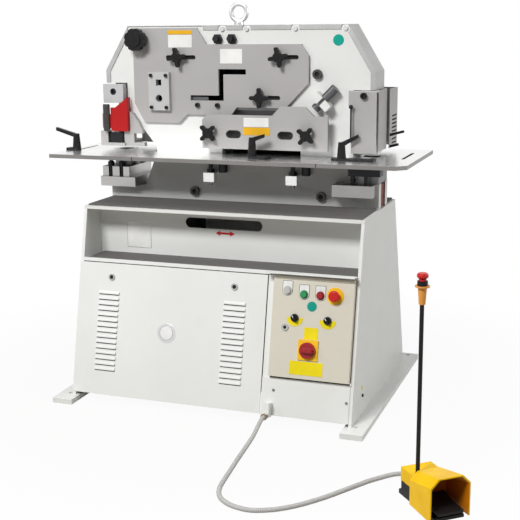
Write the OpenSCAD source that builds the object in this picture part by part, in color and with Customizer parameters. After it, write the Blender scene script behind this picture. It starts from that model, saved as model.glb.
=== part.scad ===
// Floor-standing hydraulic ironworker with a punch at its left end, bar, angle and flat shears in
// the middle and a notcher at its right end, worked by one rocker beam and a foot switch.
// Millimetres. +X is the right as seen from the front, -Y is the front and +Z is up.
// The origin lies on the floor, in the middle of the four anchor holes.

/* [Base] */
// Width over the two side plates
base_w = 1120; // [1060:5:1200]
// Thickness of a side plate
side_t = 12; // [8:1:16]
// Height of the deck's top face
deck_h = 740; // [700:5:780]
// Thickness of the deck plate
deck_t = 12; // [8:1:18]
// Reach of the deck in front of the middle plane
deck_front = 295; // [275:5:320]
// Reach of the deck behind the middle plane
deck_back = 198; // [170:5:240]
// Reach of the side plates at the floor, in front
base_front = 453; // [430:1:490]
// Reach of the side plates at the floor, behind
base_back = 411; // [380:1:440]
// Thickness of a foot plate
foot_t = 20; // [12:1:30]
// Width of a foot plate
foot_w = 83; // [78:1:110]
// Part of a foot plate that lies inside the side plate's outer face
foot_in = 27; // [20:1:35]
// Distance between the front and the rear anchor holes
anchor_dy = 880; // [840:5:930]
// Diameter of an anchor hole
anchor_d = 18; // [14:1:22]

/* [Tray and panels] */
// Drop of the tray's front lip below the deck's top face
tray_drop = 195; // [180:5:230]
// Distance of the tray's back wall from the middle plane
tray_back = 190; // [150:5:200]
// Thickness of the sheet-metal panels
sheet_t = 3; // [2:0.5:4]
// Length of the slot in the tray's back wall
tray_slot_l = 316; // [200:2:360]
// Height of that slot
tray_slot_h = 40; // [30:1:60]
// Thickness of the rubber mats
mat_t = 6; // [3:1:9]
// Number of louvres in a column
louvre_n = 15; // [6:1:17]
// Length of a louvre
louvre_l = 86; // [60:1:100]

/* [Upper frame] */
// Thickness over both frame plates
frame_t = 136; // [126:1:150]
// Thickness of one frame plate
plate_t = 35; // [30:1:38]
// Height of the frame's top edge above the tables
frame_rise = 488; // [470:2:520]
// Step of the frame's right edge inside the base's right face
right_step = 23; // [18:1:28]
// Width of a top corner's chamfer
chamfer_w = 102; // [90:1:110]
// Height of a top corner's chamfer
chamfer_h = 170; // [150:1:175]
// Thickness of the rim cover's sheet
rim_t = 3; // [2:0.5:4]
// Width of the rim cover's front and rear flanges
rim_flange = 18; // [14:1:22]

/* [Work stations] */
// Distance of the punch inside the base's left face
punch_in = 42; // [39:1:45]
// Distance of the notcher inside the frame's right edge
notch_in = 27; // [25:1:29]
// Diameter of the pivot pin
pivot_d = 70; // [50:1:76]
// Bore of the hydraulic cylinder
cyl_bore = 100; // [80:1:110]
// Diameter of the cylinder's rod
rod_d = 50; // [36:1:54]
// Diameter of the punch
punch_d = 22; // [10:1:26]
// Width of the angle shear's opening
angle_gap = 20; // [16:1:24]
// Side of the bar shear's square opening
square_bar = 22; // [16:1:28]
// Diameter of the bar shear's round opening
round_bar = 27; // [18:1:34]

/* [Tables] */
// Thickness of the tables
table_t = 15; // [10:1:18]
// Reach of the tables in front of the middle plane
table_front = 265; // [250:1:275]
// Overhang of the left table past the base
left_hang = 164; // [155:1:180]
// Overhang of the right table past the base
right_hang = 134; // [125:1:150]
// Reach of the right table behind the middle plane
table_back = 260; // [220:1:280]

/* [Guards] */
// Thickness of the sliding guard plates
guard_t = 12; // [8:1:14]
// Stand-off of the flat shear's guard from the frame
flat_standoff = 37; // [34:1:45]
// Diameter of the guards' clamping studs
stud_d = 12; // [8:1:14]
// Span of a star knob over opposite arms
star_span = 76; // [56:1:80]
// Diameter of the round lobed knob
lobed_d = 86; // [60:1:88]

/* [Controls] */
// Distance of the control box inside the base's right face
box_in = 15; // [13:1:18]
// Width of the control box
box_w = 302; // [290:1:304]
// Height of the control box along the sloping front
box_l = 355; // [340:1:365]
// Depth of the control box
box_d = 140; // [100:5:180]
// Diameter of the emergency stop's mushroom
estop_d = 40; // [34:1:46]
// Diameter of a push button
button_d = 22; // [18:1:24]
// Diameter of the main switch's handle
main_d = 58; // [48:1:62]

/* [Foot switch] */
// Distance of the foot switch from the middle of the machine, on the right
switch_x = 931; // [915:2:950]
// Distance of the foot switch in front of the middle plane
switch_y = 918; // [908:2:928]
// Turn of the foot switch, seen from above
switch_turn = -49.5; // [-55:0.5:-45]
// Width of the hood
hood_w = 134; // [120:1:150]
// Height of the hood at its mouth
hood_h = 135; // [125:1:150]
// Diameter of the emergency stop's pole
pole_d = 13; // [10:1:16]
// Height of the pole's upper end
pole_top = 622; // [500:1:700]

/* [Conduit] */
// Outer diameter of the ribbed conduit
conduit_d = 16; // [14:0.5:17]
// Bore of the conduit
conduit_bore = 11; // [9:0.5:12]

/* [Hidden] */
$fn = 48;

// Clearances: sliding flat faces, running shafts, seated pieces and free swinging pieces
slide_gap = 0.3;
run_gap = 0.05;
seat_gap = 0.1;
free_gap = 0.5;
// How far cuts run past the faces that they open
over = 1;
function run(d) = d + 2 * run_gap;
function seated(d) = d + 2 * seat_gap;
function loose(d) = d + 2 * free_gap;

// Colours
ivory = [0.90, 0.90, 0.88];
guard_grey = [0.70, 0.69, 0.68];
steel = [0.62, 0.62, 0.63];
dark = [0.12, 0.12, 0.13];
black = [0.05, 0.05, 0.05];
red = [0.75, 0.05, 0.05];
green = [0.05, 0.45, 0.15];
yellow = [1.0, 0.80, 0.0];
beige = [0.83, 0.81, 0.74];
mat_grey = [0.33, 0.32, 0.31];

// Base places
side_x = base_w / 2;
inner_x = side_x - side_t;
deck_under = deck_h - deck_t;
foot_x = side_x - foot_in;
anchor_x = foot_x + foot_w / 2;
foot_toe = 72;
foot_heel = 25;
tray_h = deck_h - tray_drop;
front_rise = deck_under - foot_t;
front_tilt = atan((base_front - deck_front) / front_rise);
// Distance up the sloping front at a height, and its place there
function slope(z) = (z - foot_t) / cos(front_tilt);
function front_y(z) = (z - foot_t) * tan(front_tilt) - base_front;

// Upper frame places
face_y = frame_t / 2;
inner_y = face_y - plate_t;
seat_rise = 52;
bolster_l = 38;
holder_l = 40;
die_body_l = 62;
seat_z = deck_h + seat_rise;
bolster_z = seat_z + bolster_l;
holder_z = bolster_z + holder_l;
table_h = holder_z + die_body_l;
table_z = table_h - table_t;
frame_top = table_h + frame_rise;
frame_left = side_x;
frame_right = side_x - right_step;
punch_x = side_x - punch_in;
notch_x = frame_right - notch_in;
shoulder_z = frame_top - chamfer_h;
chamfer_len = sqrt(chamfer_w * chamfer_w + chamfer_h * chamfer_h);
frame_step = 4;
low_x = side_x - frame_step;
// Place from its shares of the half width and of the height above the tables
function at(s) = [s.x * side_x, table_h + s.y * frame_rise];
function all_at(shares) = [for (s = shares) at(s)];
// Lower edges of the upper jaws over the punch and over the notcher
jaw_punch_share = 0.5492;
jaw_notch_share = 0.5123;
jaw_punch = at([0, jaw_punch_share]).y;
jaw_notch = at([0, jaw_notch_share]).y;
// Back edges of the two throats, and the notcher's seat
throat_d = 170;
throat_mid = 114;
throat_neck = 48;
throat_shares = [0.3135, 0.1803, 0.0369, 0];
throat_in = [throat_neck, throat_mid, throat_d, throat_d];
throat = [for (i = [0:3]) [-punch_x + throat_in[i], at([0, throat_shares[i]]).y]];
notch_die_l = 96;
notch_seat_z = table_h - notch_die_l;
notch_throat = 55;
notch_back = notch_x - notch_throat;
// Height drop and side step of the rim's corners when its outline is set in
function shoulder_drop(i) =
  -i * chamfer_w / chamfer_len + i * (1 - chamfer_h / chamfer_len) / chamfer_w * chamfer_h;
function crown_step(i) =
  -i * chamfer_h / chamfer_len - chamfer_w * (chamfer_h - i + i * chamfer_w / chamfer_len) / chamfer_h;

// Windows for the shear stations: middle, size
angle_share = [-0.1339, 0.541];
bar_share = [-0.5732, 0.4877];
flat_share = [0.1607, 0];
angle_mid = at(angle_share);
angle_w = 262;
angle_l = 144;
bar_mid = at(bar_share);
bar_w = 88;
bar_l = 147;
flat_mid = at(flat_share);
flat_w = 320;
flat_drop = 30;
flat_l = 200;
window_rim = 8;
// The Z-shaped opening of the angle shear, its web beside the window's middle
z_web = 10;
z_high = 120;
z_top_arm = 112;
z_low_arm = 138;
// Openings of the bar shear, above and below the window's middle
square_up = 34;
round_down = 27;

// Beam
pivot_share = [0.4107, 0.5799];
pivot = at(pivot_share);
cyl_share = 0.4464;
cyl_x = cyl_share * side_x;
pad_t = 3.7;
pad_d = 46;
beam_t = 2 * (inner_y - pad_t - slide_gap);
tongue_t = 30;
yoke_pin_d = 24;
yoke_shift = 10;
pin_shares = [0.6066, 0.623, 0.2664];
punch_pin = [-punch_x, at([0, pin_shares[0]]).y];
notch_pin = [notch_x - yoke_shift, at([0, pin_shares[1]]).y];
rod_pin = [-cyl_x, at([0, pin_shares[2]]).y];
rod_pin_d = 30;
rod_ear = [36, 30];
blade_depth = 20;
blade_proud = beam_t / 2 + pad_t;
flat_blade_l = 42;
flat_open = 26;
cheek_in = tongue_t / 2 + free_gap;
cheek_out = beam_t / 2;

// Guard plates
angle_guard_front = face_y + slide_gap + guard_t;
flat_guard_back = face_y + flat_standoff;
flat_guard_front = flat_guard_back + guard_t;
guard_slot_w = 16;

// Outline in XZ, thick along Y
module slab(y0, y1) {
  translate([0, y1, 0]) rotate([90, 0, 0]) linear_extrude(y1 - y0) children();
}
// Outline in YZ, thick along X
module rib(x0, x1) {
  translate([x0, 0, 0]) rotate([90, 0, 90]) linear_extrude(x1 - x0) children();
}
// Outline in XY, thick along Z
module layer(z0, z1) {
  translate([0, 0, z0]) linear_extrude(z1 - z0) children();
}
module block(lo, hi) {
  translate(lo) cube(hi - lo);
}
module bar_y(p, d, y0, y1) {
  translate([p.x, y1, p.y]) rotate([90, 0, 0]) cylinder(d = d, h = y1 - y0);
}
module bar_z(x, y, d, z0, z1) {
  translate([x, y, z0]) cylinder(d = d, h = z1 - z0);
}
module rect(p, w, l) {
  translate([p.x - w / 2, p.y - l / 2]) square([w, l]);
}
// Slot with round ends, from its middle
module obround(l, w) {
  square([l - w, w], center = true);
  for (s = [-1, 1]) translate([s * (l - w) / 2, 0]) circle(d = w);
}
// Hexagon across flats
module hexagon(af) {
  circle(d = af / cos(30), $fn = 6);
}
// A piece and its mirror image behind the middle plane
module both() {
  children();
  mirror([0, 1, 0]) children();
}
// Piece that stands out of a front face at p
module on_face(p, y) {
  translate([p.x, -y, p.y]) rotate([90, 0, 0]) children();
}
// Frame of the sloping front: x, out of the face towards -y, up the slope
module on_front() translate([0, -base_front, foot_t]) rotate([-front_tilt, 0, 0]) children();
// Frame of the foot switch: its mouth faces +x
module on_switch() translate([switch_x, -switch_y, 0]) rotate([0, 0, switch_turn]) children();
module socket_head(d, h) {
  difference() {
    cylinder(d = d, h = h);
    translate([0, 0, h / 2]) linear_extrude(h) hexagon(d / 2);
  }
}

// Upper frame plates
function frame_head(i) = [
  [frame_right - i, shoulder_z + shoulder_drop(i)],
  [frame_right + crown_step(i), frame_top - i],
  [-frame_left - crown_step(i), frame_top - i],
  [-frame_left + i, shoulder_z + shoulder_drop(i)]];
frame_outline = concat(
  [[-low_x, deck_h], [low_x, deck_h], [low_x, notch_seat_z], [notch_back, notch_seat_z],
  [notch_back, jaw_notch], [frame_right - rim_t, jaw_notch]],
  frame_head(rim_t),
  [[-frame_left + rim_t, jaw_punch], [throat[0].x, jaw_punch]], throat,
  [[throat[1].x, seat_z], [-low_x, seat_z]]);
module z_opening(w) {
  translate([angle_mid.x + z_web, angle_mid.y]) {
    square([w, z_high], center = true);
    translate([-w / 2, z_high / 2 - w]) square([z_top_arm, w]);
    translate([w / 2 - z_low_arm, -z_high / 2]) square([z_low_arm, w]);
  }
}
// Blade pieces that leave the Z-shaped opening free
module z_blades(y0, y1) {
  left = angle_mid.x - angle_w / 2 + seat_gap;
  right = angle_mid.x + angle_w / 2 - seat_gap;
  high = angle_mid.y + angle_l / 2 - seat_gap;
  low = angle_mid.y - angle_l / 2 + seat_gap;
  web_left = angle_mid.x + z_web - angle_gap / 2;
  web_right = web_left + angle_gap;
  z1 = angle_mid.y + z_high / 2;
  z0 = z1 - z_high;
  block([left, y0, z1 + seat_gap], [right, y1, high]);
  block([left, y0, z0 + angle_gap + seat_gap], [web_left, y1, z1]);
  block([web_right, y0, z0], [right, y1, z1 - angle_gap]);
  block([web_left + z_top_arm, y0, z1 - angle_gap + seat_gap], [right, y1, z1]);
  block([left, y0, z0], [web_right - z_low_arm, y1, z0 + angle_gap]);
  block([left, y0, low], [right, y1, z0 - seat_gap]);
}
module bar_openings(extra) {
  translate([bar_mid.x, bar_mid.y + square_up]) square(square_bar + extra, center = true);
  translate([bar_mid.x, bar_mid.y - round_down]) circle(d = round_bar + extra);
}
module bar_blade(y0, y1) {
  slab(y0, y1) difference() {
    rect(bar_mid, bar_w - 2 * seat_gap, bar_l - 2 * seat_gap);
    bar_openings(0);
  }
}
module station_windows(grow) {
  rect(angle_mid, angle_w + grow, angle_l + grow);
  rect(bar_mid, bar_w + grow, bar_l + grow);
  translate([flat_mid.x - flat_w / 2 - grow / 2, table_h - flat_drop]) square([flat_w + grow, flat_l]);
}

// Places of the fixings on the front face
knob_shares = [[-0.4304, 0.7541], [0.3071, 0.7561], [0.1714, 0.4467], [-0.1804, 0.1742], [0.5179, 0.1701]];
knob_places = all_at(knob_shares);
function knob_front(i) = i < 3 ? angle_guard_front : flat_guard_front;
lobed_share = [-0.7304, 0.8934];
lobed_place = at(lobed_share);
stop_share = [0.5679, 0.6291];
stop_place = at(stop_share);
gib_shares = [[-0.1411, 0.8955], [-0.0375, 0.8955]];
gib_places = all_at(gib_shares);
rim_screw_shares = [-0.1089, 0.0679, 0.4107, 0.7554];
rim_screw_drop = 14;
rim_screw_d = 18;
rim_screw_h = 6;
scallop_d = 34;
tie_shares = [-0.3321, 0.5964];
tie_rise = 41;
tie_places = [for (s = tie_shares) [s * side_x, deck_h + tie_rise]];
tie_d = 24;
tie_head_d = 36;
tie_head_h = 14;
gib_d = 20;
gib_nut = 34;
gib_nut_h = 14;
gib_tail = 12;
boss_d = 32;
stud_hole_depth = 24;
stud_reach = 19;
eye_share = -0.0321;
eye_x = eye_share * side_x;
eye_hole_d = 20;

// Hold-down screw on the front face: middle, lengths along its axis
hold_share = [0.6125, 0.4283];
hold_at = at(hold_share);
hold_turn = -45;
hold_d = 22;
hold_block = [30, 76, 46];
hold_out = 26;
hold_cap_d = 34;
hold_cap_l = 56;
hold_foot_l = 24;
hold_foot_t = 12;
hold_slit = 12;
module on_hold_down() {
  translate([hold_at.x, -face_y - hold_out, hold_at.y]) rotate([0, hold_turn, 0]) children();
}

module front_plate() {
  color(ivory) difference() {
    union() {
      slab(-face_y, -inner_y) polygon(frame_outline);
      for (i = [3, 4]) bar_y(knob_places[i], boss_d, -flat_guard_back + slide_gap, -face_y);
      on_hold_down() difference() {
        translate([-hold_block.x / 2, hold_out - hold_block.z, -hold_block.y / 2])
        cube([hold_block.x, hold_block.z, hold_block.y]);
        rotate([0, 90, 0]) cylinder(d = run(hold_d), h = 2 * hold_block.x, center = true);
        translate([-hold_block.x, -hold_block.z, -hold_slit / 2])
        cube([2 * hold_block.x, hold_block.z, hold_slit]);
      }
    }
    slab(-face_y - over, -inner_y + over) {
      station_windows(0);
      translate(pivot) circle(d = run(pivot_d));
      for (p = tie_places) translate(p) circle(d = seated(tie_d));
      for (p = gib_places) translate(p) circle(d = seated(gib_d));
    }
    for (p = concat([lobed_place, stop_place], knob_places))
      bar_y(p, run(stud_d), -flat_guard_back, -face_y + stud_hole_depth);
  }
}

// Spacer bars on the rear plate's inner face: left and right shares, low, high
spacer_t = 15;
spacer_drop = 4;
low_bar_h = 40;
post_rise = [108, 188];
web_drop = 6;
post_t = 28;
web_t = 7;
bar_reach = [90, 15];
spacer_shares = [[-0.7143, 0.6964], [-0.9643, -0.5357]];
post_left = throat[3].x + post_t / 2;
spacer_x = [
  spacer_shares[0] * side_x, spacer_shares[1] * side_x,
  [notch_back - bar_reach[0], notch_back + bar_reach[1]], [post_left, post_left + post_t],
  [notch_back - post_t - web_t / 2, notch_back - web_t / 2],
  [low_x - spacer_drop - web_t, low_x - spacer_drop]];
spacer_low = deck_h + spacer_drop;
spacer_z = [
  [frame_top - spacer_drop - spacer_t, frame_top - spacer_drop],
  [spacer_low, spacer_low + low_bar_h], [spacer_low, spacer_low + low_bar_h],
  [spacer_low + low_bar_h, table_h + post_rise[0]], [spacer_low + low_bar_h, table_h + post_rise[1]],
  [spacer_low, notch_seat_z - web_drop]];
module rear_plate() {
  color(ivory) {
    difference() {
      slab(inner_y, face_y) polygon(frame_outline);
      slab(inner_y - over, face_y + over) {
        station_windows(2 * window_rim);
        translate(pivot) circle(d = run(pivot_d));
        for (p = tie_places) translate(p) circle(d = seated(tie_d));
      }
    }
    for (i = [0:len(spacer_x) - 1])
      block([spacer_x[i].x, -inner_y, spacer_z[i].x], [spacer_x[i].y, inner_y, spacer_z[i].y]);
  }
}

// Folded cover over the frame's top, corners and sides, cut away behind the sliding guard
relief_shares = [-0.8214, -0.25];
module rim_strip(i) {
  difference() {
    polygon(concat([[frame_right, jaw_notch]], frame_head(0), [[-frame_left, jaw_punch]]));
    polygon(concat([[frame_right - i, jaw_notch - over - i]], frame_head(i),
      [[-frame_left + i, jaw_notch - over - i]]));
  }
}
module rim_cover() {
  color(guard_grey) difference() {
    union() {
      slab(-face_y - rim_t, face_y + rim_t) rim_strip(rim_t);
      both() slab(face_y, face_y + rim_t) rim_strip(rim_flange);
    }
    for (s = rim_screw_shares) both()
      bar_y([s * side_x, frame_top - rim_screw_drop], scallop_d, face_y - over, face_y + rim_t + over);
    bar_z(eye_x, 0, seated(eye_hole_d), frame_top - rim_t - over, frame_top + over);
    block([relief_shares.x * side_x, -face_y - rim_t - over, frame_top - 2 * rim_flange],
       [relief_shares.y * side_x, -face_y, frame_top - rim_t]);
  }
}

// Base
module base_side(s) {
  color(ivory) mirror([s < 0 ? 1 : 0, 0, 0]) {
    rib(inner_x, side_x) polygon([[-base_front, foot_t], [base_back, foot_t],
      [deck_back, deck_under], [-deck_front, deck_under]]);
    difference() {
      block([foot_x, -anchor_dy / 2 - foot_toe, 0], [foot_x + foot_w, anchor_dy / 2 + foot_heel, foot_t]);
      for (y = [-1, 1]) bar_z(anchor_x, y * anchor_dy / 2, anchor_d, -over, foot_t + over);
    }
  }
}
module base_left_side() base_side(-1);
module base_right_side() base_side(1);
module base_deck() {
  color(ivory) difference() {
    block([-side_x, -deck_front, deck_under], [side_x, deck_back, deck_h]);
    bar_z(-cyl_x, 0, loose(rod_d), deck_under - over, deck_h + over);
  }
}

// Tray with its slotted back wall, its front lip and the sloping hood over the control box
tray_slot_share = -0.0339;
tray_slot_drop = 51.5;
tray_lip = 10;
tray_floor = tray_h - tray_lip;
lip_l = 14;
hood_out = 45;
hood_drop = 6;
module tray_recess() {
  color(ivory) {
    difference() {
      block([-inner_x, -tray_back - sheet_t, tray_floor - sheet_t], [inner_x, -tray_back, deck_under]);
      slab(-tray_back - sheet_t - over, -tray_back + over)
        translate([tray_slot_share * side_x, deck_under - tray_slot_drop]) obround(tray_slot_l, tray_slot_h);
    }
    rib(-inner_x, inner_x)
      polygon([[front_y(tray_floor) - sheet_t / 2, tray_floor], [-tray_back - sheet_t, tray_floor],
      [-tray_back - sheet_t, tray_floor - sheet_t],
      [front_y(tray_floor - sheet_t) - sheet_t / 2, tray_floor - sheet_t]]);
    on_front() {
      block([-inner_x, -sheet_t, slope(tray_h) - lip_l], [inner_x, 0, slope(tray_h)]);
      rib(door_right + sheet_t, inner_x)
        polygon([[-sheet_t / 2, slope(tray_h)], [-sheet_t / 2, slope(tray_h) - sheet_t],
      [-hood_out, slope(tray_h) - sheet_t - hood_drop],
      [-hood_out, slope(tray_h) - hood_drop]]);
    }
  }
}
module rear_panel() {
  color(ivory) rib(-inner_x, inner_x)
    polygon([[deck_back, deck_under], [deck_back - sheet_t, deck_under],
      [base_back - sheet_t, foot_t], [base_back, foot_t]]);
}

// Control box behind the sloping front, with a post between it and the front door
pan_d = 20;
wall_t = 2;
box_drop = 26;
box_x = side_x - box_in - box_w;
post_w = 27;
panel_gap = 3;
post_x = box_x - post_w;
door_right = post_x - panel_gap;
box_high = slope(tray_h) - box_drop;
box_low = box_high - box_l;
// Place on the control box's door from its shares
function on_box(s) = [box_x + s.x * box_w, box_low + s.y * box_l];

// Post, floor rails and the fixed panel below the control box
post_d = 30;
rail_w = 40;
rail_h = 40;
rail_y = [-180, 220];
panel_screw_d = 10;
panel_screw_h = 3;
panel_low = 12;
box_gap = 7;
panel_high = box_low - box_gap;
screw_in = [46, 11];
screw_shares = [0.67, 0.54];
panel_l = panel_high - panel_low;
panel_screws = [[post_x + screw_in[0], panel_low + screw_shares[0] * panel_l],
      [inner_x - screw_in[1], panel_low + screw_shares[1] * panel_l]];
module base_rails() {
  color(ivory) {
    for (y = rail_y)
      block([-inner_x, y - rail_w / 2, foot_t], [inner_x, y + rail_w / 2, foot_t + rail_h]);
    on_front() {
      block([post_x, 0, 0], [box_x, post_d, slope(tray_floor) - 2 * sheet_t]);
      block([post_x, -sheet_t, panel_low], [inner_x, 0, panel_high]);
      for (p = panel_screws) on_face(p, sheet_t) cylinder(d = panel_screw_d, h = panel_screw_h);
    }
  }
}
mat_edge = 12;
module rubber_mats() {
  color(mat_grey) {
    block([-inner_x, -deck_front + mat_edge, deck_h], [inner_x, -face_y - rim_t, deck_h + mat_t]);
    block([-inner_x + mat_edge, front_y(tray_floor) + mat_edge, tray_floor],
       [inner_x - mat_edge, -tray_back - sheet_t, tray_floor + mat_t]);
  }
}

// Lifting eye with its collar and shank
eye_d = 80;
eye_wire = 17;
collar_d = 38;
collar_h = 12;
eye_lift = 47;
module eyebolt() {
  color(steel) {
    on_face([eye_x, frame_top + eye_lift], 0)
      rotate_extrude() translate([(eye_d - eye_wire) / 2, 0]) circle(d = eye_wire);
    difference() {
      union() {
        bar_z(eye_x, 0, collar_d, frame_top, frame_top + collar_h);
        bar_z(eye_x, 0, eye_hole_d, frame_top - spacer_drop, frame_top + over);
      }
      on_face([eye_x, frame_top + eye_lift], 0)
        cylinder(d = eye_d - eye_wire, h = collar_d, center = true);
    }
  }
}
module frame_bolts() {
  color(steel) {
    for (s = rim_screw_shares) both()
      on_face([s * side_x, frame_top - rim_screw_drop], face_y) cylinder(d = rim_screw_d, h = rim_screw_h);
    for (p = tie_places) {
      bar_y(p, tie_d, -face_y, face_y);
      on_face(p, face_y) socket_head(tie_head_d, tie_head_h);
      slab(face_y, face_y + tie_head_h) translate(p) hexagon(tie_head_d);
    }
    on_face(stop_place, face_y) socket_head(tie_head_d, tie_head_h);
    bar_y(stop_place, stud_d, -face_y, -face_y + stud_hole_depth);
    bar_y(lobed_place, stud_d, -angle_guard_front - slide_gap - stud_reach, -face_y + stud_hole_depth - over);
    for (i = [0:4])
      bar_y(knob_places[i], stud_d, -knob_front(i) - slide_gap - stud_reach,
        -face_y + stud_hole_depth - over);
  }
}
pin_flange_d = 100;
pin_flange_t = 10;
module pivot_pin() {
  color(steel) {
    bar_y(pivot, pivot_d, -face_y, face_y);
    bar_y(pivot, pin_flange_d, face_y, face_y + pin_flange_t);
  }
}

// Blades held in the front plate's windows
module fixed_blades() {
  color(dark) {
    z_blades(-face_y, -inner_y);
    bar_blade(-face_y, -inner_y);
    block([flat_mid.x - flat_w / 2 + seat_gap, -face_y, table_h - flat_drop],
       [flat_mid.x + flat_w / 2 - seat_gap, -inner_y, table_h]);
  }
}
// Bronze pads that guide the beam, and the screws that set the upper pair
pad_shares = [[-0.6786, 0.7541], [0.1964, 0.7951], [0.6964, 0.6926], [0.1964, 0.4262]];
module guide_pads() {
  color(dark) {
    for (p = all_at(pad_shares)) both() bar_y(p, pad_d, inner_y - pad_t, inner_y);
    for (p = gib_places) {
      bar_y(p, gib_d, -face_y - gib_nut_h - gib_tail, -inner_y + pad_t);
      on_face(p, face_y) linear_extrude(gib_nut_h) difference() {
        hexagon(gib_nut);
        circle(d = gib_d);
      }
    }
  }
}

// Punch die set on the frame's lower jaw
bolster_left = 63;
bolster_right = 90;
bolster_out = 46;
holder_w = 118;
holder_out = 34;
holder_bolt_in = 24;
holder_bolt_d = 16;
holder_bolt_l = 36;
holder_nut = 26;
holder_nut_h = 18;
holder_slot_d = 26;
die_body_d = 96;
die_d = 60;
die_l = 30;
die_play = 0.6;
die_relief = 34;
module punch_die_set() {
  holder_y = face_y + holder_out;
  bolster_y = face_y + bolster_out;
  bolts_x = [-holder_bolt_in, holder_bolt_in];
  translate([-punch_x, 0, 0]) {
    color(steel) {
      difference() {
        block([-bolster_left, -bolster_y, seat_z], [bolster_right, bolster_y, bolster_z]);
        bar_z(0, 0, die_relief, seat_z - over, bolster_z + over);
      }
      difference() {
        block([-holder_w / 2, -holder_y, bolster_z], [holder_w / 2, holder_y, holder_z]);
        bar_z(0, 0, die_relief, bolster_z - over, holder_z + over);
        for (x = bolts_x) both()
        block([x - loose(holder_bolt_d) / 2, holder_y - holder_slot_d, bolster_z - over],
      [x + loose(holder_bolt_d) / 2, holder_y + over, holder_z + over]);
      }
      difference() {
        bar_z(0, 0, die_body_d, holder_z, table_h);
        bar_z(0, 0, die_relief, holder_z - over, table_h);
        bar_z(0, 0, die_d, table_h - die_l, table_h + over);
      }
    }
    color(black) {
      difference() {
        bar_z(0, 0, die_d - 2 * seat_gap, table_h - die_l, table_h);
        bar_z(0, 0, punch_d + 2 * die_play, table_h - die_l - over, table_h + over);
      }
      for (x = bolts_x) both() translate([x, holder_y - holder_bolt_d / 2, bolster_z]) {
        cylinder(d = holder_bolt_d, h = holder_l + holder_bolt_l);
        translate([0, 0, holder_l]) linear_extrude(holder_nut_h) hexagon(holder_nut);
      }
    }
  }
}

// Stripper over the die, with arms bolted to both faces of the frame, and the guard's post
stripper_gap = 21;
stripper_low = table_h + stripper_gap;
stripper_t = 12;
stripper_h = 58;
stripper_left = 62;
stripper_right = 43;
stripper_cheek = 32;
stripper_out = 32;
stripper_play = 4;
arm_t = 22;
arm_in = 38;
arm_w = 88;
arm_h = 136;
arm_shares = [[0, 0], [1, 0], [1, 0.103], [0.489, 0.103], [0.489, 0.368], [0.909, 0.368], [0.909, 0.456],
       [0.727, 0.706], [0.432, 0.956], [0.295, 1], [0.295, 0.426], [0, 0.426]];
hinge_d = 18;
hinge_x = -punch_x - stripper_left + stripper_cheek / 2;
hinge_y = -face_y - stripper_out / 2;
hinge_h = 92;
module stripper() {
  left = -punch_x - stripper_left;
  high = stripper_low + stripper_h;
  side = face_y + stripper_out;
  color(guard_grey) difference() {
    union() {
      block([left, -side, stripper_low], [-punch_x + stripper_right, side, stripper_low + stripper_t]);
      both() {
        block([left, face_y, stripper_low], [left + stripper_cheek, side, high]);
        slab(face_y, face_y + arm_t) translate([-punch_x + arm_in, stripper_low])
        polygon([for (s = arm_shares) [s.x * arm_w, s.y * arm_h]]);
      }
    }
    bar_z(-punch_x, 0, punch_d + 2 * stripper_play, stripper_low - over, high);
  }
  color(black) bar_z(hinge_x, hinge_y, hinge_d, high, high + hinge_h);
}

// Notching die set: the die on the frame's right lower jaw, its bolster and clamp in front
notch_bolster_l = 45;
notch_bolster_left = 119;
notch_bolster_right = 36;
notch_bolster_out = 62;
notch_die_w = 88;
notch_die_out = face_y + slide_gap;
notch_blade_w = 60;
notch_blade_out = 30;
notch_play = 0.8;
notch_stud_d = 14;
notch_stud_x = [-48, 4];
notch_clamp_t = 18;
notch_clamp_left = 62;
module notch_die_set() {
  stud_low = seat_z + notch_bolster_l;
  stud_high = table_z - notch_clamp_t;
  blade_x = notch_blade_w / 2 + notch_play;
  blade_y = notch_blade_out + notch_play;
  front = -face_y - notch_bolster_out;
  translate([notch_x, 0, 0]) {
    color(steel) {
      block([-notch_bolster_left, front, seat_z], [notch_bolster_right, -face_y, stud_low]);
      difference() {
        block([-notch_die_w / 2, -notch_die_out, notch_seat_z], [notch_die_w / 2, notch_die_out, table_h]);
        block([-blade_x, -blade_y, notch_seat_z - over], [blade_x, blade_y, table_h + over]);
      }
    }
    color(black) {
      for (x = notch_stud_x)
        bar_z(x, front + notch_bolster_out / 2, notch_stud_d, stud_low, stud_high);
      block([-notch_clamp_left, front, stud_high], [notch_bolster_right, -notch_die_out, table_z]);
    }
  }
}

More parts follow.
